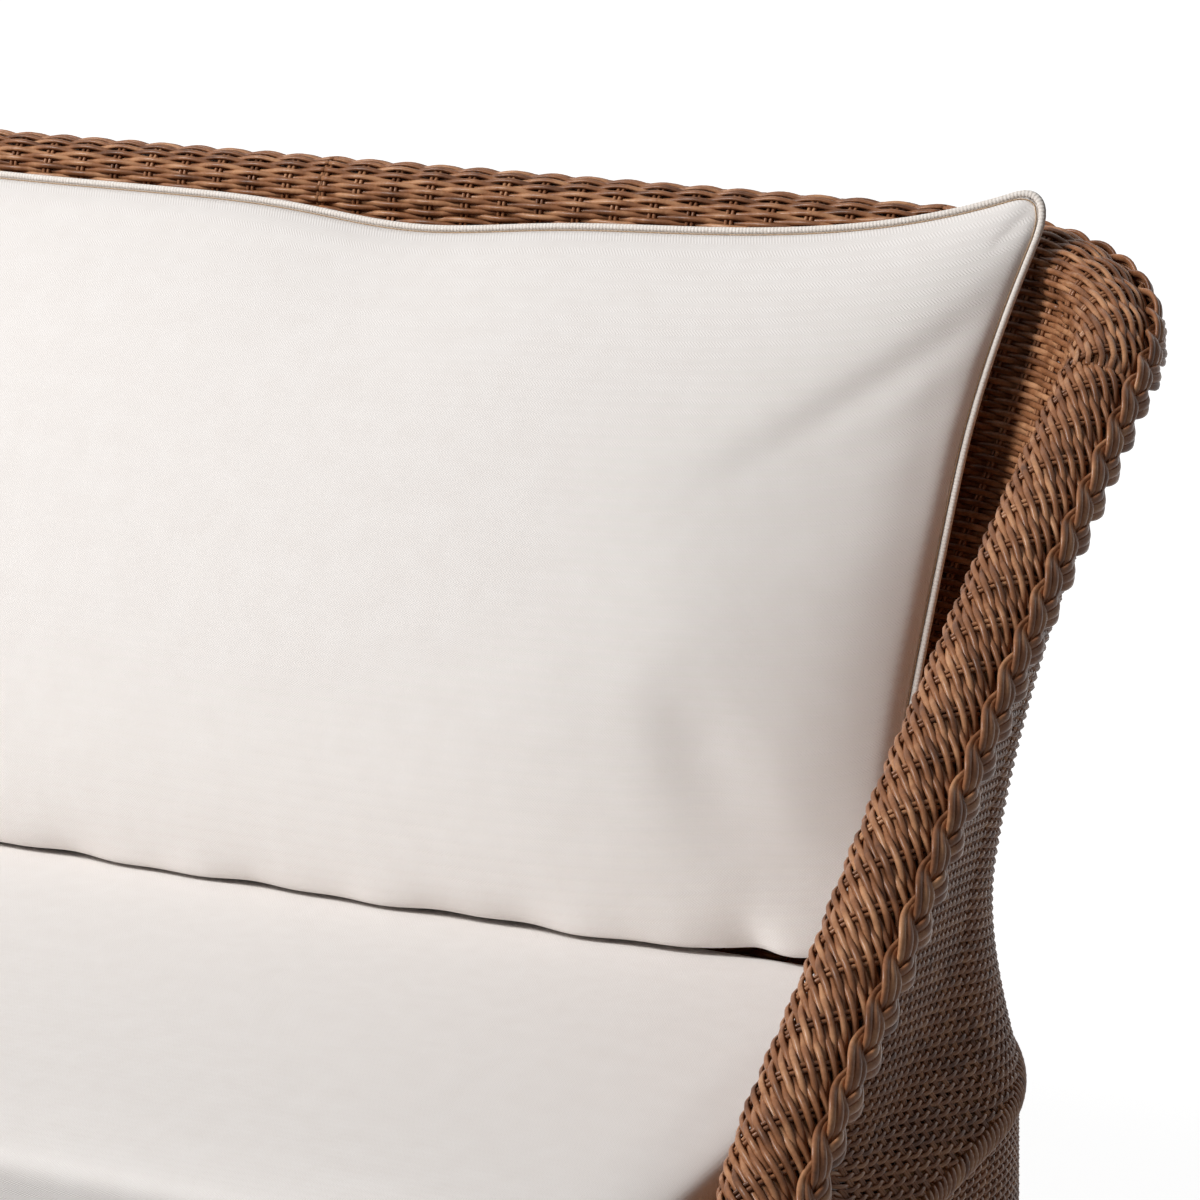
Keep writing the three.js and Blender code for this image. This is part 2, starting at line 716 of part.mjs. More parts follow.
// Geometries of a boxed cushion with crowned faces; put(a, b, c) places its own axes
function boxedCushion(shape, put) {
  const { short, thickness, edgeDrop, bulge } = shape;
  const faceInsets = faceInsetShares.map((share) => share * short);
  const faceRing = (inset, skin, sign) => roundedOutline(shape, inset + skin)
    .map(([a, b]) => put(a, b, sign * (faceHeight(shape, inset) - skin)));
  const face = (sign) => ringBody([
    ...faceInsets.map((inset) => faceRing(inset, 0, sign)),
    ...faceInsets.slice().reverse().map((inset) => faceRing(inset, coverThickness, sign)),
  ]);
  const sideHeight = thickness / 2 - edgeDrop - coverThickness - gap;
  const sideRing = (share, skin) => {
    const outset = bulge * (1 - share * share);
    return roundedOutline(shape, skin - outset)
      .map(([a, b]) => put(a, b, share * sideHeight));
  };
  const boxing = ringBody([
    ...boxingShares.map((share) => sideRing(share, 0)),
    ...boxingShares.slice().reverse().map((share) => sideRing(share, coverThickness)),
  ], true);
  const coreDepth = coverThickness + gap * 2;
  const coreInsets = faceInsets.slice(0, -1);
  const core = ringBody([
    ...coreInsets.map((inset) => faceRing(inset, coreDepth, 1)),
    ...boxingShares.slice().reverse().map((share) => sideRing(share * coreSideShare, coreDepth)),
    ...coreInsets.slice().reverse().map((inset) => faceRing(inset, coreDepth, -1)),
  ]);
  return { upper: face(1), lower: face(-1), boxing, core };
}

const seatFront = deckFront - seatCushionOverhang;
const seatRear = innerFootBack - gap * 2;
const seatShape = {
  long: innerFootHalfWidth - seatCushionSideGap,
  short: (seatRear - seatFront) / 2 - boxingBulge,
  radius: seatCushionCorner,
  longSteps: seatLongSteps,
  shortSteps: seatShortSteps,
  thickness: seatCushionThickness - seatCushionCrown * 2 - gap,
  crown: seatCushionCrown,
  edgeDrop: seatCushionEdgeDrop,
  bulge: boxingBulge,
};
const seatMiddleY = (seatRear + seatFront) / 2;
const seatMiddleZ = (deckTop + gap + seatTop) / 2;
const putSeat = (a, b, c) => vector(a, seatMiddleY + b, seatMiddleZ + c);
const seat = boxedCushion(seatShape, putSeat);
addPiece("seat_cushion_top", seat.upper, clothFinish());
addPiece("seat_cushion_bottom", seat.lower, clothFinish());
addPiece("seat_cushion_boxing", seat.boxing, clothFinish());
addPiece("seat_cushion_core", seat.core, fillFinish());

const seatZip = new THREE.BoxGeometry(innerFootHalfWidth, zipThickness, zipWidth);
const seatZipY = seatMiddleY + seatShape.short + boxingBulge + gap + zipThickness / 2;
seatZip.translate(0, seatZipY, seatMiddleZ);
addPiece("seat_cushion_zip", seatZip, zipFinish());

// The back cushion: front and rear domes meet in one seam that leans with the back wall.
// Its own axes are a (sideways), b (up the seam from the middle) and c (forward).
const pillowFoot = seatTop + pillowFootHeight;
const pillowTop = rimCrest - pillowTopDrop;
const pillowShape = {
  long: innerFootHalfWidth - pillowSideGap,
  short: (pillowTop - pillowFoot) / 2,
  radius: pillowCorner,
  longSteps: pillowLongSteps,
  shortSteps: pillowShortSteps,
};
const wallSlope = uprightLine.y / uprightLine.z;

function placePillow(a, b, c) {
  const { long, short } = pillowShape;
  const share = (b + short) / (short * 2);
  const fromMiddle = Math.abs(share * 2 - 1);
  const rise = pillowEarRise * Math.abs(a / long) ** pillowEarPower * share * share;
  const droop = pillowDroopShare * Math.max(c, 0) * (1 - share) ** pillowDroopPower;
  const pinch = 1 - pillowSidePinch * (1 - Math.min(fromMiddle, 1) ** pillowEarPower);
  const height = pillowFoot + b + short + rise;
  const set = mix(pillowTopSet, pillowFootSet, Math.max(1 - share, 0) ** pillowSetPower);
  const wall = backSkin[0].y + (height - backSkin[0].z) * wallSlope;
  return vector(a * pinch, wall - set - c, height - droop);
}

// How far a dome stands off the seam, at an inset from it
function domeHeight(depth, inset) {
  const rest = 1 - inset / pillowShape.short;
  return coverThickness + gap / 2 + depth * Math.sqrt(1 - rest ** pillowDomePower);
}

function domeRing(sign, inset, skin) {
  return roundedOutline(pillowShape, inset + skin).map(([a, b]) => {
    const share = (b + pillowShape.short) / (pillowShape.short * 2);
    const depth = sign > 0 ? mix(pillowFrontFoot, pillowFrontTop, share) : pillowRear;
    return [a, b, sign * (domeHeight(depth, inset) - skin)];
  });
}

const pillowInsets = faceInsetShares.map((share) => share * pillowShape.short);
const domeSheet = (sign) => [
  ...pillowInsets.map((inset) => domeRing(sign, inset, 0)),
  ...pillowInsets.slice().reverse().map((inset) => domeRing(sign, inset, coverThickness)),
];
const pillowCoreInsets = pillowInsets.slice(0, -1);
const pillowCoreDepth = coverThickness + pillowCoreGap;
const pillowCore = [
  ...pillowCoreInsets.map((inset) => domeRing(1, inset, pillowCoreDepth)),
  ...pillowCoreInsets.slice().reverse().map((inset) => domeRing(-1, inset, pillowCoreDepth)),
];
const pillowCord = sharesOf(pipingSides).slice(1).map((share) => {
  const turn = share * fullTurn;
  const outset = pipingRadius + gap + pipingRadius * Math.cos(turn);
  return roundedOutline(pillowShape, -outset)
    .map(([a, b]) => [a, b, pipingRadius * Math.sin(turn)]);
});

// The zip lies on the rear dome along the lower seam
const zipInsets = pillowInsets.slice(-3, -1);
const zipColumns = [-1, 1].map((side) => zipInsets.map((inset) => {
  const level = domeHeight(pillowRear, inset) + gap;
  return placePillow(side * innerFootHalfWidth / 2, inset - pillowShape.short, -level);
}));

// The cushion is lowered until it rests on the seat cushion's top face
const restPoints = [...domeSheet(1), ...pillowCord].flat()
  .map(([a, b, c]) => placePillow(a, b, c));
const seatFaceAt = (y) => seatMiddleZ
  + faceHeight(seatShape, Math.max(seatMiddleY + seatShape.short - y, 0));
const restDrop = Math.min(...restPoints.map(({ y, z }) => z - seatFaceAt(y))) - gap;
const laid = (rings) => rings.map((ring) => ring
  .map(([a, b, c]) => placePillow(a, b, c).sub(vector(0, 0, restDrop))));
addPiece("back_cushion_front", ringBody(laid(domeSheet(1).reverse())), clothFinish());
addPiece("back_cushion_rear", ringBody(laid(domeSheet(-1))), clothFinish());
addPiece("back_cushion_fill", ringBody(laid(pillowCore)), fillFinish());
addPiece("back_piping", ringBody(laid(pillowCord), true), clothFinish());
const backZip = panel(zipColumns, zipThickness);
backZip.translate(0, 0, -restDrop);
addPiece("back_cushion_zip", backZip, zipFinish());

export default sofa;
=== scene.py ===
import math

import bpy
import numpy as np
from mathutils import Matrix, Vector


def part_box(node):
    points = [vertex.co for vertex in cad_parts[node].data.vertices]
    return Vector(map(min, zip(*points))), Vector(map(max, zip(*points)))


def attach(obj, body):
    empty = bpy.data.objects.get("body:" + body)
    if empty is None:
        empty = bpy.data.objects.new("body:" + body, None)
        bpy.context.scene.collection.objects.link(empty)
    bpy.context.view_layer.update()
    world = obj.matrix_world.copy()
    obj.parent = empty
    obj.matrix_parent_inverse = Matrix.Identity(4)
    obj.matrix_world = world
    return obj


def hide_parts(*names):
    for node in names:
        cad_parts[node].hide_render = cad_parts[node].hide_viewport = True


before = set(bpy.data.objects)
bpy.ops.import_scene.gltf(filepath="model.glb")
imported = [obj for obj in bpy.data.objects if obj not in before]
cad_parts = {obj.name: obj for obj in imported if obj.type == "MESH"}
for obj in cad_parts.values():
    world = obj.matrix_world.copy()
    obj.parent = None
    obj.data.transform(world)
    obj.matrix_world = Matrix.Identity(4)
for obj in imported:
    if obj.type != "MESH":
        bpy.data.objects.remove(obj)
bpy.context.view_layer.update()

# Shape values, in millimetres, the same as in the construction
MM = 0.001
OVERALL_WIDTH = 1400.0
OVERALL_DEPTH = 860.0
RIM_CREST = 880.0
ARM_HALF_WIDTH = 643.0
SEAT_TOP = 435.0
SEAT_CUSHION_THICKNESS = 130.0
RIDGE_HEIGHT = 390.0
GAP = 0.3
ROLL_RADIUS = 27.8
BRAID_HEIGHT = 26.0
BRAID_THICKNESS = 11.0
BRAID_TURN = 0.1
RIM_CORNER_RADIUS = 170.0
RIM_FOOT_SPREAD = 13.0
CORNER_RISE_EASE = 2.2
ROLL_INNER_TURN = math.pi + 0.2
ROLL_OUTER_TURN = -0.8
ROLL_FOOT_TURN = math.pi - 0.9
ARM_FOOT_HEIGHT = 14.3
ARM_ROUTE_SHARES = [
    (0.0, 0.0, 1.0), (0.0, 0.1355, 0.98), (0.01, 0.2372, 0.88), (0.035, 0.3389, 0.6),
    (0.09, 0.4304, 0.25), (0.202, 0.522, 0.0), (0.34, 0.5942, 0.1), (0.534, 0.704, 0.3),
    (0.75, 0.8149, 0.6), (1.0, 0.9339, 0.95),
]
DECK_TOP = SEAT_TOP - SEAT_CUSHION_THICKNESS
DECK_THICKNESS = 8.0
INNER_FOOT_HALF_WIDTH = 605.0
INNER_WALL_LEAN = 299.6
INNER_FOOT_RADIUS = 60.0
INNER_FOOT_HEIGHT = DECK_TOP - DECK_THICKNESS + GAP
SKIRT_FOOT_SPREAD = 10.0
RIDGE_HALF_WIDTH = OVERALL_WIDTH / 2 - SKIRT_FOOT_SPREAD
RIDGE_INSET = 137.6
RIDGE_CORNER_RADIUS = 300.0
RIDGE_BEAD = 8.0
BRAID_CLEARANCE = 15.0
WAIST_SHARE = 0.3
SIDE_INSET_SHARE = 0.11
BACK_INSET_SHARE = 0.03
OUTER_HEAD_SIDE = 13.7
OUTER_HEAD_DROP = 19.5
OUTER_NECK_DROP = 35.0
OUTER_FRONT_RISE = 46.0
SKIRT_HEM = 8.0
BRAID_REACH = (
    (ROLL_RADIUS + GAP + BRAID_THICKNESS / 2) * math.cos(BRAID_TURN)
    + math.hypot(
        BRAID_THICKNESS / 2 * math.cos(BRAID_TURN),
        BRAID_HEIGHT / 2 * math.sin(BRAID_TURN),
    )
)
RIM_FRONT = -OVERALL_DEPTH / 2 + ROLL_RADIUS
RIM_BACK = OVERALL_DEPTH / 2 - BRAID_REACH
RIM_TOP = RIM_CREST - ROLL_RADIUS
RIM_ARC_START = RIM_BACK - RIM_CORNER_RADIUS
INNER_FOOT_BACK = RIM_BACK - INNER_WALL_LEAN
RIDGE_BACK = RIM_BACK - RIDGE_INSET

# Reeds of the weave, in millimetres; the outer rows are twined in pairs
REED_WIDTH = 3.1
REED_HEIGHT = 2.6
ROW_PITCH = 5.6
STAKE_PITCH = 13.3
STAKE_WIDTH = 2.9
STAKE_SPACING = 3.0
STAKE_STEP = 7.0
WEAVE_WAVE = 2.0
WEAVE_DEPTH = 2.4
TWINE_REACH = 1.4
FINE_STEP = STAKE_PITCH / 4
SKIRT_STEP = STAKE_PITCH / 3
COARSE_STEP = STAKE_PITCH / 2
INNER_REED_WIDTH = 4.6
INNER_REED_HEIGHT = 2.6
INNER_ROW_PITCH = 3.7
INNER_STAKE_PITCH = 30.0
INNER_STAKE_WIDTH = 3.3
INNER_STAKE_SPACING = 3.9
INNER_STAKE_STEP = 5.0
INNER_WAVE = 2.3
INNER_STEP = INNER_STAKE_PITCH / 7
WALL_STEP = INNER_STAKE_PITCH / 4
SHEET_RADIUS = 25.6
SHEET_INSET = 1.6
ROLL_OVERRUN = 80.0
STAKE_OVERRUN = 120.0

# Slopes of the outer rows, in degrees, the levels they are measured at and where they start
OUTER_SLOPE = 10.5
OUTER_SLOPE_LEVEL = RIDGE_HEIGHT + 60.0
SKIRT_SLOPE = 7.0
SKIRT_SLOPE_LEVEL = 200.0
SLOPE_PLACE = 1.4
SLOPE_EASE = 60.0
LEVEL_STEP = 20.0
PLACE_REACH = 0.004

rng = np.random.default_rng(7)
ROW_TONES = rng.random(1000)


# Small vector helpers

def unit(vectors):
    lengths = np.linalg.norm(vectors, axis=-1, keepdims=True)
    return vectors / np.maximum(lengths, 1e-9)


def mix(low, high, share):
    return low + (high - low) * share


def smoothstep(value, low, high):
    share = np.clip((value - low) / (high - low), 0.0, 1.0)
    return share * share * (3 - 2 * share)


def columns(*values):
    return np.stack(np.broadcast_arrays(*values), axis=-1)


# The rim's route: a centripetal Catmull-Rom curve through the arm, then the plan's corner

def catmull_rom(points, steps_per_span):
    ends = np.vstack([2 * points[0] - points[1], points, 2 * points[-1] - points[-2]])
    found = []
    share = np.arange(steps_per_span)[:, None] / steps_per_span
    for p0, p1, p2, p3 in zip(ends, ends[1:], ends[2:], ends[3:]):
        d0 = np.linalg.norm(p1 - p0) ** 0.5
        d1 = np.linalg.norm(p2 - p1) ** 0.5
        d2 = np.linalg.norm(p3 - p2) ** 0.5
        t1 = ((p1 - p0) / d0 - (p2 - p0) / (d0 + d1) + (p2 - p1) / d1) * d1
        t2 = ((p2 - p1) / d1 - (p3 - p1) / (d1 + d2) + (p3 - p2) / d2) * d1
        c2 = -3 * p1 + 3 * p2 - 2 * t1 - t2
        c3 = 2 * p1 - 2 * p2 + t1 + t2
        found.append(p1 + t1 * share + c2 * share ** 2 + c3 * share ** 3)
    return np.vstack(found + [points[-1:]])


def arm_route_points():
    run, rise, spread = np.array(ARM_ROUTE_SHARES).T
    return columns(
        ARM_HALF_WIDTH + RIM_FOOT_SPREAD * spread,
        mix(RIM_FRONT, RIM_ARC_START, run),
        mix(ARM_FOOT_HEIGHT, RIM_TOP, rise),
    )


def path_lengths(points):
    steps = np.linalg.norm(np.diff(points, axis=0), axis=1)
    return np.concatenate([[0.0], np.cumsum(steps)])


def interp_rows(wanted, known, values):
    return np.stack([np.interp(wanted, known, column) for column in values.T], axis=-1)


ROUTE = catmull_rom(arm_route_points(), 60)
ROUTE_LENGTHS = path_lengths(ROUTE)
ROUTE_SHARES = ROUTE_LENGTHS / ROUTE_LENGTHS[-1]
ARM_END = ROUTE[-1]


def plan_points(place, half, back, radius, front, height):
    """A rounded plan: straight side, quarter circle, straight back."""
    centre_x = half - radius
    centre_y = back - radius
    angle = np.clip(place - 1, 0, 1) * math.pi / 2
    x = np.where(place <= 1, half, centre_x + radius * np.cos(angle))
    x = np.where(place >= 2, centre_x * (3 - place), x)
    y = centre_y + radius * np.sin(angle)
    y = np.where(place <= 1, mix(front, centre_y, place), y)
    return columns(x, y, height)


def outward(place):
    angle = np.clip(place - 1, 0, 1) * math.pi / 2
    return columns(np.cos(angle), np.sin(angle), 0.0 * angle)


def rim_centre(place):
    arm = interp_rows(np.clip(place, 0, 1), ROUTE_SHARES, ROUTE)
    rest = np.clip(2 - place, 0, 1)
    height = mix(RIM_TOP, ARM_END[2], rest ** CORNER_RISE_EASE)
    plan = plan_points(place, ARM_END[0], RIM_BACK, RIM_CORNER_RADIUS, RIM_FRONT, height)
    return np.where((place <= 1)[:, None], arm, plan)


PLACES = np.linspace(0.0, 3.0, 3001)
PLACE_STEP = PLACES[1]
RIM = rim_centre(PLACES)
RIM_ALONG = unit(rim_centre(np.minimum(PLACES + PLACE_REACH, 3))
                 - rim_centre(np.maximum(PLACES - PLACE_REACH, 0)))
RIM_UP = unit(np.cross(outward(PLACES), RIM_ALONG))
RIM_SIDE = unit(np.cross(RIM_ALONG, RIM_UP))


def at_places(place, table):
    return interp_rows(place, PLACES, table)


def rim_point(place, turn, radius):
    side = at_places(place, RIM_SIDE)
    up = at_places(place, RIM_UP)
    around = side * np.cos(turn)[:, None] + up * np.sin(turn)[:, None]
    return at_places(place, RIM) + around * np.broadcast_to(radius, turn.shape)[:, None]


def beside_rim(place, sideways, drop):
    return (at_places(place, RIM) + at_places(place, RIM_SIDE) * sideways
            - at_places(place, RIM_UP) * drop)


def arm_place_at(height, drop=0.0):
    arm = PLACES[PLACES <= 1]
    return float(np.interp(height, beside_rim(arm, 0.0, drop)[:, 2], arm))


def run_at(place):
    y = at_places(place, RIM)[:, 1]
    return np.where(place >= 1, place, (y - RIM_FRONT) / (RIM_ARC_START - RIM_FRONT))


FOOT_PLACE = arm_place_at(DECK_TOP)
FULL_PLACE = arm_place_at(DECK_TOP + ROLL_RADIUS * 2)
OUTER_START = arm_place_at(RIDGE_HEIGHT + OUTER_FRONT_RISE)
OUTER_FRONT = float(beside_rim(np.array([OUTER_START]), OUTER_HEAD_SIDE, OUTER_NECK_DROP)[0, 1])

# Tables along the places: where the roll starts, the wall's foot, and the unrolled sheet

RISE = smoothstep(PLACES, FOOT_PLACE, FULL_PLACE)
START_TURN = mix(ROLL_FOOT_TURN, ROLL_INNER_TURN, RISE)
START = rim_point(PLACES, START_TURN, SHEET_RADIUS)
FOOT = plan_points(run_at(PLACES), INNER_FOOT_HALF_WIDTH + SHEET_INSET, INNER_FOOT_BACK + SHEET_INSET,
                   INNER_FOOT_RADIUS, RIM_FRONT, INNER_FOOT_HEIGHT)
START_RUN = path_lengths(START[::-1, :2])[::-1]
SHEET_WIDTH = (START_TURN - ROLL_OUTER_TURN) * SHEET_RADIUS
SHEET_CURVE = columns(START_RUN, np.maximum.accumulate(START[:, 2]))
SHEET_PACE = np.gradient(SHEET_CURVE, axis=0)
SHEET_TANGENT = unit(SHEET_PACE)
SHEET_PACE = np.maximum(np.linalg.norm(SHEET_PACE, axis=1), 0.05)


def nearest_on_sheet(run, height):
    """The place on the start curve nearest to each point of the unrolled sheet, and how far it is."""
    points = columns(run, height)
    place = np.empty(len(points))
    for begin in range(0, len(points), 400):
        block = points[begin:begin + 400]
        gap = block[:, None, :] - SHEET_CURVE[None, :, :]
        best = np.argmin((gap ** 2).sum(axis=2), axis=1)
        offset = ((block - SHEET_CURVE[best]) * SHEET_TANGENT[best]).sum(axis=1)
        shift = np.clip(offset / SHEET_PACE[best], -1.0, 1.0)
        place[begin:begin + 400] = PLACES[best] + shift * PLACE_STEP
    place = np.clip(place, 0, 3)
    on_curve = at_places(place, SHEET_CURVE)
    return place, np.linalg.norm(points - on_curve, axis=1)


def roll_points(run, height, lift):
    """Points of the sheet rolled over the rim, with their directions away from the pole."""
    place, far = nearest_on_sheet(run, height)
    turn = np.interp(place, PLACES, START_TURN) - far / SHEET_RADIUS
    points = rim_point(place, turn, SHEET_RADIUS + lift)
    ups = unit(points - at_places(place, RIM))
    inside = far <= np.interp(place, PLACES, SHEET_WIDTH)
    return points, ups, place, inside


# Strands: closed strips with a half-round face, gathered into one mesh for each piece

SECTION_TURNS = np.linspace(0, math.pi, 5)
SECTION = columns(np.cos(SECTION_TURNS) / 2, np.sin(SECTION_TURNS) * 0.75 - 0.35)
ROUND_TURNS = np.arange(8) / 8 * 2 * math.pi
ROUND_SECTION = columns(np.cos(ROUND_TURNS) / 2, np.sin(ROUND_TURNS) / 2)
PLACE_SLACK = 1e-9


def add_attribute(data, name, values):
    layer = data.attributes.new(name, "FLOAT", "POINT")
    layer.data.foreach_set("value", values.astype(np.float32))


def new_object(name, data):
    thing = bpy.data.objects.new(name, data)
    bpy.context.scene.collection.objects.link(thing)
    return thing


class Strands:
    """Vertices and faces of many strands, with a tone and a run for each vertex."""

    def __init__(self):
        self.points, self.corners, self.sizes = [], [], []
        self.tones, self.runs = [], []
        self.count = 0

    def add(self, points, ups, width, height, tone=None, section=SECTION):
        if len(points) < 2:
            return
        along = unit(np.gradient(points, axis=0))
        across = unit(np.cross(along, ups))
        up = np.cross(across, along)
        ring = (points[:, None, :] + across[:, None, :] * section[:, :1] * width
                + up[:, None, :] * section[:, 1:] * height)
        around = len(section)
        count = len(points) * around
        rows = np.arange(len(points) - 1)[:, None] * around
        here = np.arange(around)
        after = np.roll(here, -1)
        later = rows + around
        quads = np.stack([rows + here, rows + after, later + after, later + here], axis=-1)
        caps = np.concatenate([here[::-1], count - around + here])
        self.points.append(ring.reshape(-1, 3))
        self.corners += [quads.ravel() + self.count, caps + self.count]
        self.sizes += [np.full(quads.size // 4, 4), np.full(2, around)]
        self.tones.append(np.full(count, rng.random() if tone is None else tone))
        self.runs.append(np.repeat(path_lengths(points), around))
        self.count += count

    def add_between(self, cuts, place, points, ups, *size, **more):
        """Adds the stretches of one strand that lie between two places."""
        for chosen in split_by_place(place, cuts):
            self.add(points[chosen], ups[chosen], *size, **more)

    def mesh(self, name, mirror=False):
        points = np.vstack(self.points) * MM
        corners = np.concatenate(self.corners)
        sizes = np.concatenate(self.sizes)
        starts = np.concatenate([[0], np.cumsum(sizes)[:-1]])
        if mirror:
            points = points * np.array([-1.0, 1.0, 1.0])
            order = np.repeat(starts * 2 + sizes - 1, sizes) - np.arange(len(corners))
            corners = corners[order]
        data = bpy.data.meshes.new(name)
        data.vertices.add(len(points))
        data.vertices.foreach_set("co", points.astype(np.float32).ravel())
        data.loops.add(len(corners))
        data.loops.foreach_set("vertex_index", corners.astype(np.int32))
        data.polygons.add(len(sizes))
        data.polygons.foreach_set("loop_start", starts.astype(np.int32))
        data.update(calc_edges=True)
        add_attribute(data, "tone", np.concatenate(self.tones))
        add_attribute(data, "run", np.concatenate(self.runs))
        data.shade_smooth()
        return data


def unbroken(found, least):
    """The stretches of a rising list of indices that have no break and are long enough."""
    stretches = np.split(found, np.flatnonzero(np.diff(found) > 1) + 1)
    return [stretch for stretch in stretches if len(stretch) >= least]


def split_by_place(place, cuts):
    """Index ranges of a strand between the places where pieces meet."""
    low, high = cuts
    keep = (place >= low - PLACE_SLACK) & (place <= high + PLACE_SLACK)
    past = place > high + PLACE_SLACK
    meets = np.zeros(len(place), bool)
    meets[1:] |= keep[:-1] & past[1:]
    meets[:-1] |= keep[1:] & past[:-1]
    return unbroken(np.flatnonzero(keep | meets), 2)


def stake_runs(longest, pitch, spacing):
    """The runs of paired stakes up to the longest one, with one tone for each pair."""
    for index in range(int(longest / pitch) + 1):
        tone = rng.random()
        for offset in (-spacing / 2, spacing / 2):
            yield tone, index * pitch + offset


def add_object(name, data, body, material, nodes):
    piece = new_object(name, data)
    data.materials.append(material)
    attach(piece, body)
    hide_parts(*nodes)
    return piece


def add_both_sides(groups, label, stem, material):
    """One part of a skin as pieces for each side; its nodes are named by side too, except the back's."""
    for mirror, side in ((False, "right"), (True, "left")):
        node = stem if label == "back" else f"{stem}_{side}"
        for name, strands in groups:
            add_object(f"{name}_{label}_{side}", strands.mesh(name, mirror), "frame",
                       material, [node])


# Inner wall and roll: level rows that meet the rim and wind over it

def wall_row(height):
    """One level row of the inner wall from the middle of the back to where it meets the roll."""
    heights = SHEET_CURVE[:, 1]
    cross = int(np.searchsorted(heights, height))
    if height < INNER_FOOT_HEIGHT or cross >= len(PLACES):
        return None
    chosen = slice(cross, None)
    share = (height - INNER_FOOT_HEIGHT) / np.maximum(heights[chosen] - INNER_FOOT_HEIGHT, 1.0)
    points = FOOT[chosen] + (START[chosen] - FOOT[chosen]) * np.clip(share, 0, 1)[:, None]
    points = points[::-1]
    rise = unit(START[chosen] - FOOT[chosen])[::-1]
    length = path_lengths(points)
    run = length * (START_RUN[cross] / max(length[-1], 1e-6))
    return points, PLACES[chosen][::-1], rise, run


def wall_strand(row, lift_at):
    points, place, rise, run = row
    wanted = np.append(np.arange(0.0, run[-1], WALL_STEP), run[-1])
    path = interp_rows(wanted, run, points)
    rises = interp_rows(wanted, run, rise)
    places = np.interp(wanted, run, place)
    along = unit(np.gradient(path, axis=0)) if len(path) > 1 else rises
    ups = unit(np.cross(rises, along))
    ups = np.where((ups * outward(places)).sum(axis=1)[:, None] > 0, -ups, ups)
    return path + ups * lift_at(wanted)[:, None], ups, places


def inner_rows():
    """Every row's wall part and rolled part, each with its wave over and under the stakes."""
    walls, rolls, level = [], [], []
    top = SHEET_CURVE[-1, 1] + SHEET_WIDTH[-1]
    for index in range(int((top - SKIRT_HEM) / INNER_ROW_PITCH)):
        height = SKIRT_HEM + (index + 0.5) * INNER_ROW_PITCH

        def lift(run, index=index):
            return INNER_WAVE * np.cos(math.pi * (run / INNER_STAKE_PITCH + index))

        row = wall_row(height)
        if row is not None:
            walls.append((*wall_strand(row, lift), ROW_TONES[index]))
            level.append(row)
        cross = int(np.searchsorted(SHEET_CURVE[:, 1], height))
        begin = START_RUN[cross] if cross < len(PLACES) else 0.0
        first = math.ceil(begin / INNER_STEP) * INNER_STEP
        run = np.arange(first, START_RUN[0] + ROLL_OVERRUN, INNER_STEP)
        run = np.concatenate([[begin], run[run > begin + 0.05]])
        points, ups, place, inside = roll_points(run, np.full(len(run), height), lift(run))
        stop = len(run) if inside.all() else int(np.argmin(inside))
        if stop > 1:
            rolls.append((points[:stop], ups[:stop], place[:stop], ROW_TONES[index]))
    return walls, rolls, level


def add_roll_stakes(strands, cuts):
    """Paired stakes on the roll, square to the rows."""
    longest = START_RUN[0] + ROLL_OVERRUN / 2
    for tone, run in stake_runs(longest, INNER_STAKE_PITCH, INNER_STAKE_SPACING):
        low = SKIRT_HEM
        if run < START_RUN[0]:
            low = float(np.interp(-run, -START_RUN, SHEET_CURVE[:, 1]))
        heights = np.arange(low, RIM_CREST + STAKE_OVERRUN, INNER_STAKE_STEP)
        points, ups, place, inside = roll_points(np.full(len(heights), run), heights, 0.0)
        strands.add_between(cuts, np.where(inside, place, -1.0), points, ups,
                            INNER_STAKE_WIDTH, INNER_STAKE_WIDTH, tone)


def add_wall_stakes(strands, level, cuts):
    """Paired stakes up the wall, one point at every other row."""
    rows = level[::2]
    longest = max(row[3][-1] for row in rows)
    for tone, run in stake_runs(longest, INNER_STAKE_PITCH, INNER_STAKE_SPACING):
        run = max(run, 0.0)
        crossed = [row for row in rows if row[3][-1] >= run]
        if len(crossed) < 2:
            continue
        points = np.vstack([interp_rows(np.array([run]), row[3], row[0]) for row in crossed])
        place = np.array([np.interp(run, row[3], row[1]) for row in crossed])
        strands.add_between(cuts, place, points, -outward(place),
                            INNER_STAKE_WIDTH, INNER_STAKE_WIDTH, tone)


def build_inner(reed):
    walls, rolls, level = inner_rows()
    for cuts, label in (((0.0, 1.0), "arm"), ((1.0, 2.0), "corner"), ((2.0, 3.0), "back")):
        roll, wall = Strands(), Strands()
        for strands, rows in ((roll, rolls), (wall, walls)):
            for points, ups, place, tone in rows:
                strands.add_between(cuts, place, points, ups, INNER_REED_WIDTH, INNER_REED_HEIGHT, tone)
        add_roll_stakes(roll, cuts)
        add_wall_stakes(wall, level, cuts)
        add_both_sides((("rim_reeds", roll), ("inner_reeds", wall)), label, f"inner_weave_{label}", reed)


# Shells woven with rows that follow a slope: the outer wall and the skirt

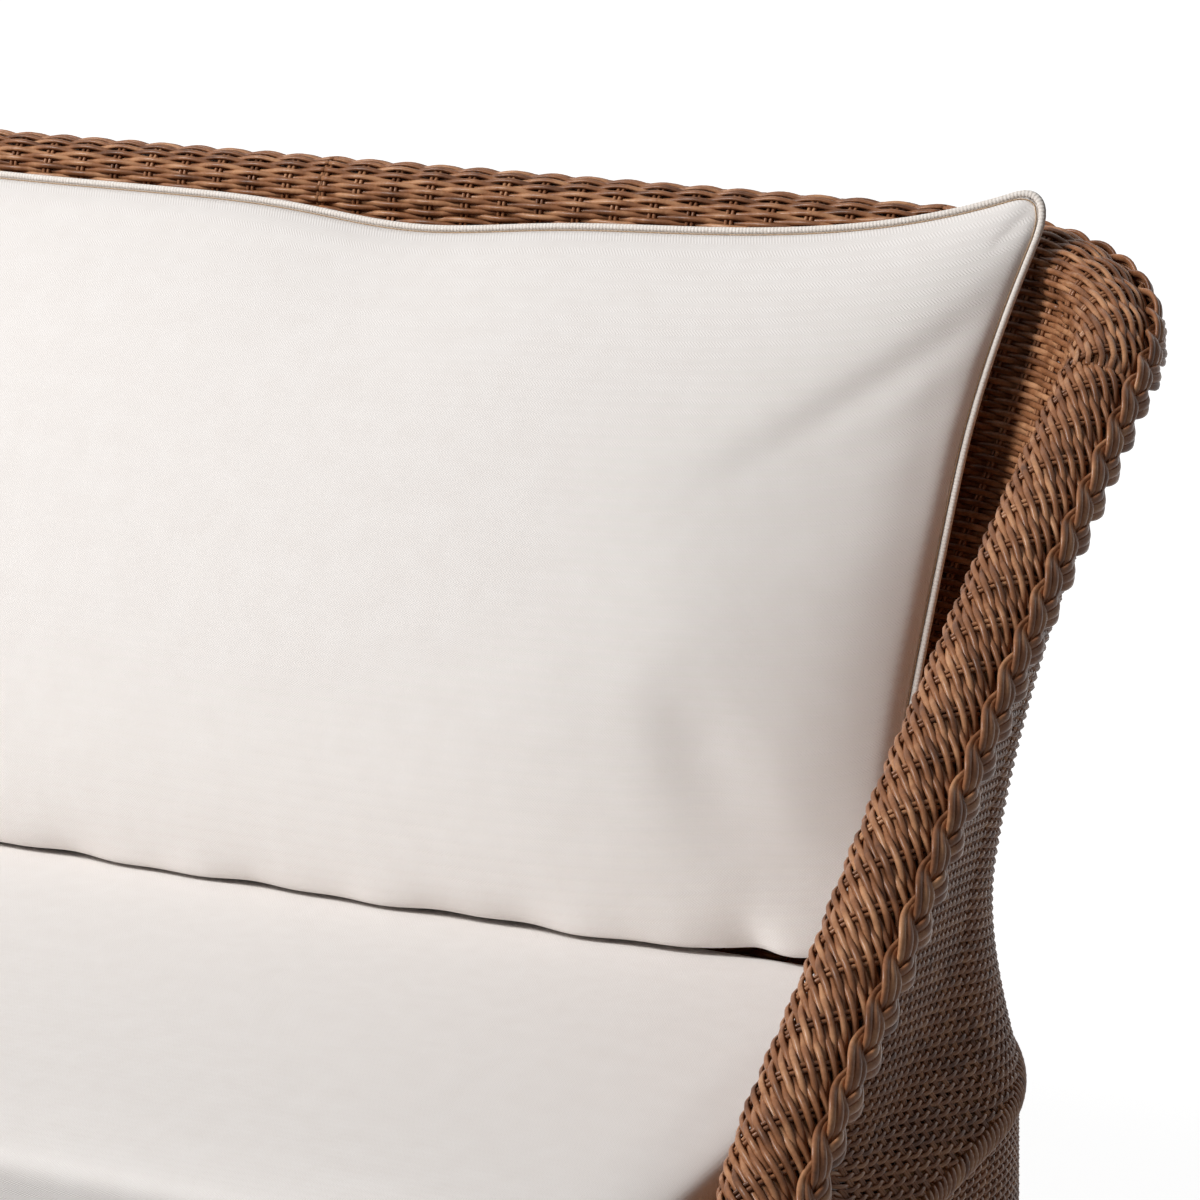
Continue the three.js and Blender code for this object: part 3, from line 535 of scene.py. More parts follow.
class Shell:
    """A surface over (place, height) between a lower and an upper edge."""

    def __init__(self, point, places, low, high):
        self.point = point
        self.places = places
        self.low = np.broadcast_to(low, places.shape)
        self.high = np.broadcast_to(high, places.shape)
        self.levels = np.arange(self.low.min(), self.high.max() + LEVEL_STEP, LEVEL_STEP)
        table = np.array([
            path_lengths(point(places, np.clip(height, self.low, self.high))[::-1, :2])[::-1]
            for height in self.levels
        ])
        self.longest = table[:, 0].max()
        self.table = table * (self.longest / table[:, :1])

    def run(self, place, height):
        rows = np.clip((height - self.levels[0]) / LEVEL_STEP, 0, len(self.levels) - 1.001)
        lower = rows.astype(int)
        share = rows - lower
        spots = np.interp(place, self.places, np.arange(len(self.places)))
        left = np.minimum(spots.astype(int), len(self.places) - 2)
        part = spots - left
        value = 0
        for i, weight_i in ((lower, 1 - share), (lower + 1, share)):
            for j, weight_j in ((left, 1 - part), (left + 1, part)):
                value = value + self.table[i, j] * weight_i * weight_j
        return value

    def normal(self, place, height):
        sideways = (self.point(np.minimum(place + PLACE_REACH, self.places[-1]), height)
                    - self.point(np.maximum(place - PLACE_REACH, self.places[0]), height))
        upwards = self.point(place, height + 2.0) - self.point(place, height - 2.0)
        return -unit(np.cross(upwards, sideways))


def row_falls(shell, height, degrees):
    """How far the rows have dropped at each place: level along the arm, then down to the back."""
    slope = math.tan(math.radians(degrees))
    run = shell.run(shell.places, np.full(len(shell.places), height))
    past = run - float(np.interp(SLOPE_PLACE, shell.places, run))
    return slope * 0.5 * (past + np.sqrt(past ** 2 + SLOPE_EASE ** 2)) - slope * 2.0


def shell_strands(shell, falls, cuts, step):
    """Twined rows along the shell that drop to the back by their falls, with paired stakes."""
    strands = Strands()
    places = shell.places
    lowest = (shell.low - falls).min()
    highest = (shell.high - falls).max()
    for index in range(int((highest - lowest) / ROW_PITCH)):
        height = lowest + (index + 0.5) * ROW_PITCH + falls
        inside = (height >= shell.low + 0.5) & (height <= shell.high - 0.5)
        inside &= (places >= cuts[0]) & (places <= cuts[1])
        for chosen in unbroken(np.flatnonzero(inside), 3):
            place, level = places[chosen][::-1], height[chosen][::-1]
            run = shell.run(place, level)
            wanted = np.arange(math.ceil(run[0] / step) * step, run[-1], step)
            wanted = np.concatenate([[run[0]], wanted[wanted > run[0] + 0.1], [run[-1]]])
            place = np.interp(wanted, run, place)
            level = np.interp(wanted, run, level)
            normal = shell.normal(place, level)
            for reed in (0, 1):
                turn = math.pi * (wanted / STAKE_PITCH + reed)
                lift = WEAVE_WAVE * np.cos(turn)
                points = shell.point(place, level - TWINE_REACH * np.sin(turn)) + normal * lift[:, None]
                strands.add(points, normal, REED_WIDTH, REED_HEIGHT, ROW_TONES[index * 2 + reed])

    heights = np.arange(shell.low.min(), shell.high.max(), STAKE_STEP)
    runs = [-shell.run(places, np.full(len(places), height)) for height in heights]
    for tone, run in stake_runs(shell.longest, STAKE_PITCH, STAKE_SPACING):
        place = np.array([np.interp(-max(run, 0.0), known, places) for known in runs])
        low = np.interp(place, places, shell.low)
        high = np.interp(place, places, shell.high)
        kept = np.where((heights >= low) & (heights <= high), place, -1.0)
        strands.add_between(cuts, kept, shell.point(place, heights), shell.normal(place, heights),
                            STAKE_WIDTH, STAKE_WIDTH, tone)
    return strands


def weave_shell(shell, falls, skin, parts, reed):
    for low, high, label, step in parts:
        strands = shell_strands(shell, falls, (low, high), step)
        stem = f"{skin}_weave_back" if label == "back" else f"{skin}_weave"
        add_both_sides([(f"{skin}_reeds", strands)], label, stem, reed)


def ridge_foot(place):
    start_run = float(run_at(np.array([OUTER_START]))[0])
    run = np.where(place >= 1, place, (run_at(place) - start_run) / (1 - start_run))
    return plan_points(run, RIDGE_HALF_WIDTH, RIDGE_BACK, RIDGE_CORNER_RADIUS,
                       OUTER_FRONT, RIDGE_HEIGHT + GAP)


def outer_point(place, height):
    foot = ridge_foot(place)
    neck = beside_rim(place, OUTER_HEAD_SIDE, OUTER_NECK_DROP)
    head = beside_rim(place, OUTER_HEAD_SIDE, OUTER_HEAD_DROP)
    tall = neck[:, 2] - foot[:, 2]
    inset = mix(SIDE_INSET_SHARE, BACK_INSET_SHARE, np.clip(place - 1, 0, 1)) * tall
    share = (height - foot[:, 2]) / tall
    bend = np.where(share < WAIST_SHARE, share / WAIST_SHARE, (1 - share) / (1 - WAIST_SHARE))
    wall = foot + (neck - foot) * share[:, None]
    wall = wall - outward(place) * (inset * np.sin(np.clip(bend, 0, 1) * math.pi / 2))[:, None]
    above = np.clip((height - neck[:, 2]) / np.maximum(head[:, 2] - neck[:, 2], 1.0), 0, 1)
    top = neck + (head - neck) * above[:, None]
    return np.where((share > 1)[:, None], top, wall) - outward(place) * WEAVE_DEPTH


def skirt_point(place, height, reach=0.0):
    spread = SKIRT_FOOT_SPREAD * (1 - height / RIDGE_HEIGHT) + reach
    behind = beside_rim(PLACES[PLACES <= 1], 0.0, BRAID_CLEARANCE)
    front = np.interp(height, behind[:, 2], behind[:, 1])
    return plan_points(place, RIDGE_HALF_WIDTH + spread, RIDGE_BACK + spread,
                       RIDGE_CORNER_RADIUS + spread, front, height)


def build_outer(reed):
    places = PLACES[PLACES >= OUTER_START][::2]
    head = beside_rim(places, OUTER_HEAD_SIDE, OUTER_HEAD_DROP)[:, 2]
    shell = Shell(outer_point, places, RIDGE_HEIGHT, head)
    parts = (
        (OUTER_START, 1.0, "side", FINE_STEP),
        (1.0, 2.0, "corner", FINE_STEP),
        (2.0, 3.0, "back", COARSE_STEP),
    )
    weave_shell(shell, row_falls(shell, OUTER_SLOPE_LEVEL, OUTER_SLOPE), "outer", parts, reed)


def build_skirt(reed):
    shell = Shell(lambda place, height: skirt_point(place, height) - outward(place) * WEAVE_DEPTH,
                  PLACES[::2], SKIRT_HEM, RIDGE_HEIGHT - RIDGE_BEAD * 2 - GAP)
    parts = (
        (0.0, 1.3, "side", SKIRT_STEP),
        (1.3, 2.0, "corner", COARSE_STEP),
        (2.0, 3.0, "back", COARSE_STEP),
    )
    weave_shell(shell, row_falls(shell, SKIRT_SLOPE_LEVEL, SKIRT_SLOPE), "skirt", parts, reed)


# Plaits that run all the way round: the braid on the rim and the twisted ridge

ROUND_PARTS = (((0.0, 2.0), "right"), ((2.0, 4.0), "back"), ((4.0, 6.0), "left"))
BRAID_PERIOD = 93.0
BRAID_SWAY = 8.5
BRAID_OVER = 3.4
BRAID_REED = 6.2
BRAID_FLATNESS = 0.6
BRAID_SPACING = 5.3
BRAID_LIFT_TURN = 0.14
BRAID_TUCK = 0.3
BRAID_SINK = 1.0
BRAID_EDGE_DROP = 0.9
BRAID_STEP = 2.6
WALE_PERIOD = 46.0
WALE_REACH = 5.0
WALE_REED = 5.2
WALE_SINK = 2.5
WALE_STEP = 3.0


def all_round(points, ways, step):
    """A half path and its directions, carried on through their mirror image and cut in even steps."""
    flip = np.array([-1.0, 1.0, 1.0])
    whole = [np.vstack([half, half[-2::-1] * flip]) for half in (points, *ways)]
    length = path_lengths(whole[0])
    wanted = np.arange(0, length[-1], step)
    place = np.interp(wanted, length, np.concatenate([PLACES, 6 - PLACES[-2::-1]]))
    path, *ways = [interp_rows(wanted, length, values) for values in whole]
    return wanted, place, path, *[unit(way) for way in ways]


def build_braid(material):
    turn = np.full(len(PLACES), BRAID_TURN + BRAID_LIFT_TURN)
    radial = unit(rim_point(PLACES, turn, 1.0) - RIM)
    around = unit(rim_point(PLACES, turn + math.pi / 2, 1.0) - RIM)
    reach = ROLL_RADIUS + BRAID_THICKNESS / 2 - BRAID_SINK
    middle = RIM + radial * reach
    wanted, place, path, radial, around = all_round(middle, (radial, around), BRAID_STEP)
    for cuts, label in ROUND_PARTS:
        strands = Strands()
        for bundle in range(3):
            phase = 2 * math.pi * (wanted / BRAID_PERIOD + bundle / 3)
            sway = (BRAID_SWAY * np.sin(phase) / reach)[:, None]
            over = BRAID_OVER * np.sin(2 * phase)
            out = radial * np.cos(sway) + around * np.sin(sway)
            centre = path + (out - radial) * reach + out * over[:, None]
            along = unit(np.gradient(centre, axis=0))
            across = unit(np.cross(along, out))
            spread = BRAID_SPACING * (1 - BRAID_TUCK + BRAID_TUCK * np.sin(2 * phase))[:, None]
            for reed in (-1, 0, 1):
                strand = centre + across * spread * reed - out * (BRAID_EDGE_DROP * abs(reed))
                strands.add_between(cuts, place, strand, out, BRAID_REED, BRAID_REED * BRAID_FLATNESS,
                                    section=ROUND_SECTION)
        add_object(f"braid_{label}", strands.mesh("braid"), "frame", material,
                   [f"rim_braid_{label}"])


def build_wale(material):
    middle = skirt_point(PLACES, np.full(len(PLACES), RIDGE_HEIGHT - RIDGE_BEAD), -WALE_SINK)
    wanted, place, path, out = all_round(middle, (outward(PLACES),), WALE_STEP)
    up = np.array([0.0, 0.0, 1.0])
    for cuts, label in ROUND_PARTS:
        strands = Strands()
        for strand in range(6):
            phase = 2 * math.pi * (wanted / WALE_PERIOD + strand / 6)
            centre = (path + out * (WALE_REACH * np.cos(phase))[:, None]
                      + up * (WALE_REACH * np.sin(phase))[:, None])
            ways = unit(out * np.cos(phase)[:, None] + up * np.sin(phase)[:, None])
            strands.add_between(cuts, place, centre, ways, WALE_REED, WALE_REED, section=ROUND_SECTION)
        add_object(f"wale_{label}", strands.mesh("wale"), "frame", material,
                   [f"ridge_wale_{label}"])


# Materials

BAND_HALF = 3.25
CHEVRON_PITCH = 2.2
CHEVRON_SLANT = 1.6
THREAD_PITCH = 0.9
CORD_TWIST_PITCH = 2.6
STITCH_PITCH = 3.0
ZIP_TEETH_PITCH = 2.4
EVEN_GRAIN = (1.0, 1.0, 1.0)
POLE_GRAIN = (1.0, 1.0, 0.25)


def srgb(red, green, blue):
    def linear(value):
        value = value / 255
        return value / 12.92 if value <= 0.04045 else ((value + 0.055) / 1.055) ** 2.4
    return (linear(red), linear(green), linear(blue), 1.0)


class Tree:
    """The nodes of a material or a world, with short ways to add them and join them."""

    def __init__(self, owner):
        owner.use_nodes = True
        self.owner = owner
        self.nodes = owner.node_tree.nodes
        self.links = owner.node_tree.links

    def put(self, socket, value):
        """Sets an input to a number or a colour, or joins another node's output to it."""
        if isinstance(value, bpy.types.NodeSocket):
            self.links.new(value, socket)
        else:
            socket.default_value = value

    def add(self, kind, **inputs):
        node = self.nodes.new(kind)
        for name, value in inputs.items():
            self.put(node.inputs[name], value)
        return node

    def math(self, operation, *values):
        node = self.nodes.new("ShaderNodeMath")
        node.operation = operation
        for socket, value in zip(node.inputs, values):
            self.put(socket, value)
        return node.outputs[0]

    def wave(self, length, pitch):
        return self.math("SINE", self.math("MULTIPLY", length, 2 * math.pi / pitch))

    def attribute(self, name):
        node = self.nodes.new("ShaderNodeAttribute")
        node.attribute_name = name
        return node.outputs["Fac"]

    def place(self):
        return self.nodes.new("ShaderNodeTexCoord").outputs["Object"]

    def noise(self, vector, scale, detail):
        return self.add("ShaderNodeTexNoise", Vector=vector, Scale=scale, Detail=detail).outputs["Fac"]

    def surface(self, level, stops, height, strength, distance, **values):
        """Colour from a ramp over the level, relief from the height, and the shader's own values."""
        shader = self.nodes["Principled BSDF"]
        ramp = self.nodes.new("ShaderNodeValToRGB")
        elements = ramp.color_ramp.elements
        while len(elements) < len(stops):
            elements.new(0.5)
        for element, (position, color) in zip(elements, stops):
            element.position = position
            element.color = srgb(*color)
        self.links.new(level, ramp.inputs["Fac"])
        self.links.new(ramp.outputs["Color"], shader.inputs["Base Color"])
        bump = self.add("ShaderNodeBump", Strength=strength, Distance=distance, Height=height)
        self.links.new(bump.outputs["Normal"], shader.inputs["Normal"])
        for name, value in values.items():
            self.put(shader.inputs[name.replace("_", " ")], value)
        return self.owner

    def seen_directly(self):
        """One for rays from the camera, from reflections and through glass, nought for the others."""
        ray = self.nodes.new("ShaderNodeLightPath")
        seen = self.math("MAXIMUM", ray.outputs["Is Camera Ray"], ray.outputs["Is Glossy Ray"])
        return self.math("MAXIMUM", seen, ray.outputs["Is Transmission Ray"])


def reed_material(name, dark, middle, light, roughness):
    """Stained reed: a tone for each strand, long streaks, fine fibre and a satin varnish."""
    tree = Tree(bpy.data.materials.new(name))
    tone = tree.attribute("tone")
    streak_place = tree.add("ShaderNodeCombineXYZ", X=tree.attribute("run"),
                            Y=tree.math("MULTIPLY", tone, 900.0))
    streak = tree.noise(streak_place.outputs[0], 0.045, 3.0)
    fibre = tree.noise(tree.place(), 520.0, 3.0)
    total = tree.math("MULTIPLY_ADD", tone, 0.22, streak)
    total = tree.math("MULTIPLY_ADD", fibre, 0.24, total)
    rough = tree.math("MULTIPLY_ADD", streak, -0.25, roughness + 0.13)
    return tree.surface(total, [(0.48, dark), (0.74, middle), (0.96, light)], fibre, 0.35, 0.0004,
                        Roughness=rough, Specular_IOR_Level=0.16, Coat_Weight=0.1,
                        Coat_Roughness=0.18)


def herringbone_cloth(name, light, dark):
    """Off-white herringbone: slanting twill lines that turn back at each band."""
    tree = Tree(bpy.data.materials.new(name))
    upward = tree.attribute("upward")
    place = tree.place()
    fold = tree.math("PINGPONG", upward, BAND_HALF)
    slant = tree.math("MULTIPLY_ADD", fold, CHEVRON_SLANT, tree.attribute("across"))
    line = tree.wave(slant, CHEVRON_PITCH)
    fuzz = tree.noise(place, 900.0, 2.0)
    slub = tree.noise(place, 55.0, 3.0)
    height = tree.math("MULTIPLY_ADD", tree.wave(upward, THREAD_PITCH), 0.2, line)
    height = tree.math("MULTIPLY_ADD", fuzz, 0.8, height)
    level = tree.math("MULTIPLY_ADD", line, 0.18, 0.32)
    level = tree.math("MULTIPLY_ADD", slub, 0.3, level)
    level = tree.math("MULTIPLY_ADD", fuzz, 0.3, level)
    return tree.surface(level, [(0.3, dark), (0.95, light)], height, 0.4, 0.0002,
                        Roughness=0.92, Specular_IOR_Level=0.2, Sheen_Weight=0.12)


def strand_cloth(name, light, dark, pitch, depth):
    """Cloth cut on the bias round a cord, or a row of stitches: slanting ribs along a strand."""
    tree = Tree(bpy.data.materials.new(name))
    rib = tree.wave(tree.attribute("run"), pitch)
    fuzz = tree.noise(tree.place(), 800.0, 2.0)
    level = tree.math("MULTIPLY_ADD", rib, 0.05, fuzz)
    height = tree.math("MULTIPLY_ADD", fuzz, 0.9, rib)
    return tree.surface(level, [(0.3, dark), (0.7, light)], height, 0.45, depth,
                        Roughness=0.9, Specular_IOR_Level=0.2)


def grained(name, stops, scale, stretch, roughness, depth):
    """A plain finish whose colour and relief follow a noise, stretched along one axis."""
    tree = Tree(bpy.data.materials.new(name))
    mapping = tree.add("ShaderNodeMapping", Scale=stretch, Vector=tree.place())
    coarse = tree.noise(mapping.outputs[0], scale, 4.0)
    fine = tree.noise(mapping.outputs[0], scale * 7, 3.0)
    level = tree.math("MULTIPLY_ADD", fine, 0.35, coarse)
    return tree.surface(level, stops, level, 0.4, depth, Roughness=roughness)


# Cushions: closed grids in their own flat axes, puffed as cloth, then laid in place

PUFF_FRAMES = 20
PUFF_STIFFNESS = 25.0
PUFF_BENDING = 2.0
SMOOTHING_PASSES = 14
FILLING_DEPTH = 3.0
ZIP_WIDTH = 9.0
ZIP_THICKNESS = 1.5
ZIP_LIFT = 0.6


def node_box(name):
    low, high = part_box(name)
    return np.array(low) / MM, np.array(high) / MM


def eased_grid(wide, tall, wide_turn, tall_turn):
    """Grid shares from -1 to 1 that lie closer together towards the edges."""
    across = np.sin(np.linspace(-1, 1, wide) * wide_turn) / math.sin(wide_turn)
    upward = np.sin(np.linspace(-1, 1, tall) * tall_turn) / math.sin(tall_turn)
    return np.meshgrid(across, upward, indexing="ij")


def rounded_plan(across, upward, half_across, half_upward, corner):
    """Square grid shares, -1 to 1, as points of a rounded rectangle."""
    a = across * half_across
    b = upward * half_upward
    from_a = np.abs(a) - (half_across - corner)
    from_b = np.abs(b) - (half_upward - corner)
    inside = (from_a > 0) & (from_b > 0)
    reach = np.maximum(from_a, from_b)
    length = np.maximum(np.hypot(from_a, from_b), 1e-9)
    new_a = np.sign(a) * (half_across - corner + reach * from_a / length)
    new_b = np.sign(b) * (half_upward - corner + reach * from_b / length)
    return np.where(inside, new_a, a), np.where(inside, new_b, b)


def border_of(grid):
    """A grid's border, once round."""
    return np.concatenate([grid[:, 0], grid[-1, 1:], grid[-2::-1, -1], grid[0, -2:0:-1]])


def one_step_in(grid):
    """For each place on a grid's border, the entry one step in from the edge."""
    wide, tall = grid.shape
    rows = np.clip(np.arange(wide), 1, wide - 2)
    return border_of(grid[np.ix_(rows, np.clip(np.arange(tall), 1, tall - 2))])


def closed_grid(front, rear, levels=None):
    """Points and quads of two grids that share a border, or are joined by levels of side rings."""
    wide, tall = front.shape[:2]
    count = wide * tall
    index = np.arange(count).reshape(wide, tall)
    border = border_of(index)
    if levels is None:
        inner = np.zeros((wide, tall), bool)
        inner[1:-1, 1:-1] = True
        rear_index = index.copy()
        rear_index[inner] = count + np.arange(inner.sum())
        points = [front.reshape(count, -1), rear[inner]]
    else:
        rear_index = index + count
        points = [front.reshape(count, -1), rear.reshape(count, -1), *levels]
    quads = []
    for grid in (index, rear_index):
        corners = [grid[:-1, :-1], grid[1:, :-1], grid[1:, 1:], grid[:-1, 1:]]
        quads.append(np.stack(corners, axis=-1).reshape(-1, 4))
    quads[1] = quads[1][:, ::-1]
    if levels is not None:
        rings = np.arange(len(levels) * len(border)).reshape(len(levels), -1) + count * 2
        rings = [border, *rings, border_of(rear_index)]
        for upper, lower in zip(rings, rings[1:]):
            quads.append(np.stack([upper, lower, np.roll(lower, -1), np.roll(upper, -1)], axis=-1))
    return np.vstack(points), np.vstack(quads), border, rear_index


def grid_mesh(name, points, quads):
    data = bpy.data.meshes.new(name)
    data.from_pydata((points * MM).tolist(), [], quads.tolist())
    data.update()
    data.shade_smooth()
    return data


def coordinates_of(data):
    found = np.empty(len(data.vertices) * 3, np.float32)
    data.vertices.foreach_get("co", found)
    return found.reshape(-1, 3).astype(float) / MM


def puffed(points, quads, held, pressure, cap):
    """The points after a short cloth simulation under pressure, none moved further than the cap."""
    scene = bpy.context.scene
    piece = new_object("puff", grid_mesh("puff", points, quads))
    piece.vertex_groups.new(name="seam").add(held.tolist(), 1.0, "REPLACE")
    cloth = piece.modifiers.new("cloth", "CLOTH")
    settings = cloth.settings
    settings.vertex_group_mass = "seam"
    settings.quality = 4
    settings.use_pressure = True
    settings.uniform_pressure_force = pressure
    settings.effector_weights.gravity = 0.0
    settings.tension_stiffness = PUFF_STIFFNESS
    settings.compression_stiffness = PUFF_STIFFNESS
    settings.bending_stiffness = PUFF_BENDING
    cloth.collision_settings.use_collision = False
    cloth.point_cache.frame_start = 1
    cloth.point_cache.frame_end = PUFF_FRAMES
    for frame_number in range(1, PUFF_FRAMES + 1):
        scene.frame_set(frame_number)
    shown = piece.evaluated_get(bpy.context.evaluated_depsgraph_get())
    moved = coordinates_of(shown.data)
    bpy.data.objects.remove(piece)
    scene.frame_set(1)
    travel = moved - points
    length = np.linalg.norm(travel, axis=1, keepdims=True)
    travel *= np.minimum(1.0, cap / np.maximum(length, 1e-9))
    pairs = np.vstack([quads[:, [0, 1]], quads[:, [1, 2]], quads[:, [2, 3]], quads[:, [3, 0]]])
    pairs = np.vstack([pairs, pairs[:, ::-1]])
    count = np.bincount(pairs[:, 0], minlength=len(points))[:, None]
    for _ in range(SMOOTHING_PASSES):
        total = np.zeros_like(travel)
        np.add.at(total, pairs[:, 0], travel[pairs[:, 1]])
        travel = (travel + total / count) / 2
        travel[held] = 0.0
    return points + travel


def mesh_normals(points, quads):
    faces = np.cross(points[quads[:, 2]] - points[quads[:, 0]], points[quads[:, 3]] - points[quads[:, 1]])
    normals = np.zeros_like(points)
    for corner in range(4):
        np.add.at(normals, quads[:, corner], faces)
    return unit(normals)


def crease_seam(data, seam):
    """Keeps the edges along a closed seam sharp when the mesh is smoothed."""
    pairs = {frozenset((int(a), int(b))) for a, b in zip(seam, np.roll(seam, -1))}
    crease = data.attributes.new("crease_edge", "FLOAT", "EDGE")
    for edge in data.edges:
        if frozenset(edge.vertices) in pairs:
            crease.data[edge.index].value = 1.0


def add_cover(name, points, quads, fabric, body, nodes, material, seam=None):
    """A cushion's cover with its fabric coordinates, smoothed once."""
    data = grid_mesh(name, points, quads)
    if seam is not None:
        crease_seam(data, seam)
    add_attribute(data, "across", fabric[:, 0])
    add_attribute(data, "upward", fabric[:, 1])
    piece = add_object(name, data, body, material, nodes)
    smoother = piece.modifiers.new("smooth", "SUBSURF")
    smoother.levels = 1
    smoother.render_levels = 1


def add_filling(name, points, quads, body, node, material):
    """The filling just inside a cover."""
    inner = points - mesh_normals(points, quads) * FILLING_DEPTH
    add_object(name, grid_mesh(name, inner, quads), body, material, [node])


def add_zip_tape(body, points, quads, row, material):
    """A zip along a row of the cover's points."""
    ways = mesh_normals(points, quads)[row]
    strands = Strands()
    strands.add(points[row] + ways * ZIP_LIFT, ways, ZIP_WIDTH, ZIP_THICKNESS, 0.5)
    add_object(f"{body}_zip_tape", strands.mesh("zip_tape"), body, material, [f"{body}_zip"])


PILLOW_HALF_WIDTH = INNER_FOOT_HALF_WIDTH - 30.0
PILLOW_FOOT = SEAT_TOP + 6.0
PILLOW_HALF_HEIGHT = (RIM_CREST - 27.0 - PILLOW_FOOT) / 2
PILLOW_CORNER = 30.0
PILLOW_EAR_RISE = 54.0
PILLOW_EAR_FLARE = 0.014
PILLOW_PINCH = 0.045
PILLOW_TOP_SET = 50.0
PILLOW_FOOT_SET = 84.0
PILLOW_SET_POWER = 1.8
PILLOW_FRONT_TOP = 70.0
PILLOW_FRONT_FOOT = 130.0
PILLOW_REAR = 30.0
PILLOW_START_SHARE = 0.86
PILLOW_HEIGHT_POWER = 2.8
PILLOW_FRONT_POWER = 3.4
PILLOW_REAR_POWER = 7
PILLOW_PRESSURE = 4.0
PILLOW_TRAVEL = 9.0
PILLOW_DROOP = 0.9
PILLOW_STEP = 7.5
PILLOW_REST_FRONT = -60.0
PILLOW_REST_GAP = 0.7
WALL_SLOPE = (START[-1, 1] - FOOT[-1, 1]) / (START[-1, 2] - FOOT[-1, 2])
SEAM_SAG = 11.0
SEAM_SAG_PLACE = 105.0
SEAM_SAG_WIDTH = 95.0
SEAM_RAISE = 5.0
CREASE_DEPTH = 4.5
CREASE_FADE = 25.0
EAR_RAYS = ((60.0, 0.5, 16.0, 1.0), (105.0, 0.28, 20.0, 0.8), (150.0, 0.1, 24.0, 0.7))
RAY_MIDDLE = 70.0
RAY_LENGTH = 75.0
DIMPLE_PLACE = 490.0
DIMPLE_SHARE = 1.3
PIPING_RADIUS = 2.7
PIPING_SINK = 1.0
STITCH_RADIUS = 0.45
STITCH_INSET = 3.2
STITCH_LIFT = 0.4
REST_SOFTNESS = 2.0


def place_pillow(a, b, c):
    """The back cushion's own axes laid against the back wall, its top edge sagging between the ears."""
    share = (b + PILLOW_HALF_HEIGHT) / (PILLOW_HALF_HEIGHT * 2)
    rise = PILLOW_EAR_RISE * np.abs(a / PILLOW_HALF_WIDTH) ** 5 * share ** 2
    dip = np.exp(-((a - SEAM_SAG_PLACE) / SEAM_SAG_WIDTH) ** 2)
    sag = (SEAM_SAG * dip - SEAM_RAISE) * np.clip(share, 0, 1) ** 4
    below = np.clip(1 - share, 0, 1)
    droop = PILLOW_DROOP * np.maximum(c, 0) * below ** 6
    pinch = 1 - PILLOW_PINCH * (1 - np.clip(np.abs(share * 2 - 1), 0, 1) ** 3)
    pinch = pinch + PILLOW_EAR_FLARE * smoothstep(share, 0.65, 1.0)
    height = PILLOW_FOOT + b + PILLOW_HALF_HEIGHT + rise - sag
    set_back = mix(PILLOW_TOP_SET, PILLOW_FOOT_SET, below ** PILLOW_SET_POWER)
    wall = INNER_FOOT_BACK + (height - INNER_FOOT_HEIGHT) * WALL_SLOPE
    return columns(a * pinch, wall - set_back - c, height - droop)


def pillow_creases(a, b):
    """Soft folds: rays from the ears, puckers along the lower seam and a dimple near its end."""
    relief = np.zeros_like(a)
    for side in (-1.0, 1.0):
        along = side * a
        for offset, slope, width, depth in EAR_RAYS:
            line = b - (PILLOW_HALF_HEIGHT - offset) + slope * (PILLOW_HALF_WIDTH - along)
            near = np.exp(-((PILLOW_HALF_WIDTH - RAY_MIDDLE - along) / RAY_LENGTH) ** 2)
            relief -= depth * CREASE_DEPTH * near * np.exp(-(line / width) ** 2)
        dimple = ((along - DIMPLE_PLACE) / 16.0) ** 2 + ((b + PILLOW_HALF_HEIGHT - 6.0) / 26.0) ** 2
        relief -= DIMPLE_SHARE * CREASE_DEPTH * np.exp(-dimple)
    low = np.exp(-((b + PILLOW_HALF_HEIGHT - 14.0) / 20.0) ** 2)
    relief += low * (2.6 * np.sin(a / 27.0) + 1.8 * np.sin(a / 11.5 + 1.0) + 1.5 * np.sin(a / 61.0))
    relief += 2.2 * np.sin(a / 143.0 + 0.6) * np.sin(b / 96.0 + 0.4)
    return relief


def with_fabric(grid):
    """A grid of points with two more columns: the cloth's own lengths across and upward."""
    steps = np.linalg.norm(np.diff(grid, axis=0), axis=-1)
    across = np.concatenate([np.zeros((1, grid.shape[1])), np.cumsum(steps, axis=0)])
    across -= across[grid.shape[0] // 2]
    return np.concatenate([grid, across[..., None], grid[..., 1:2]], axis=-1)


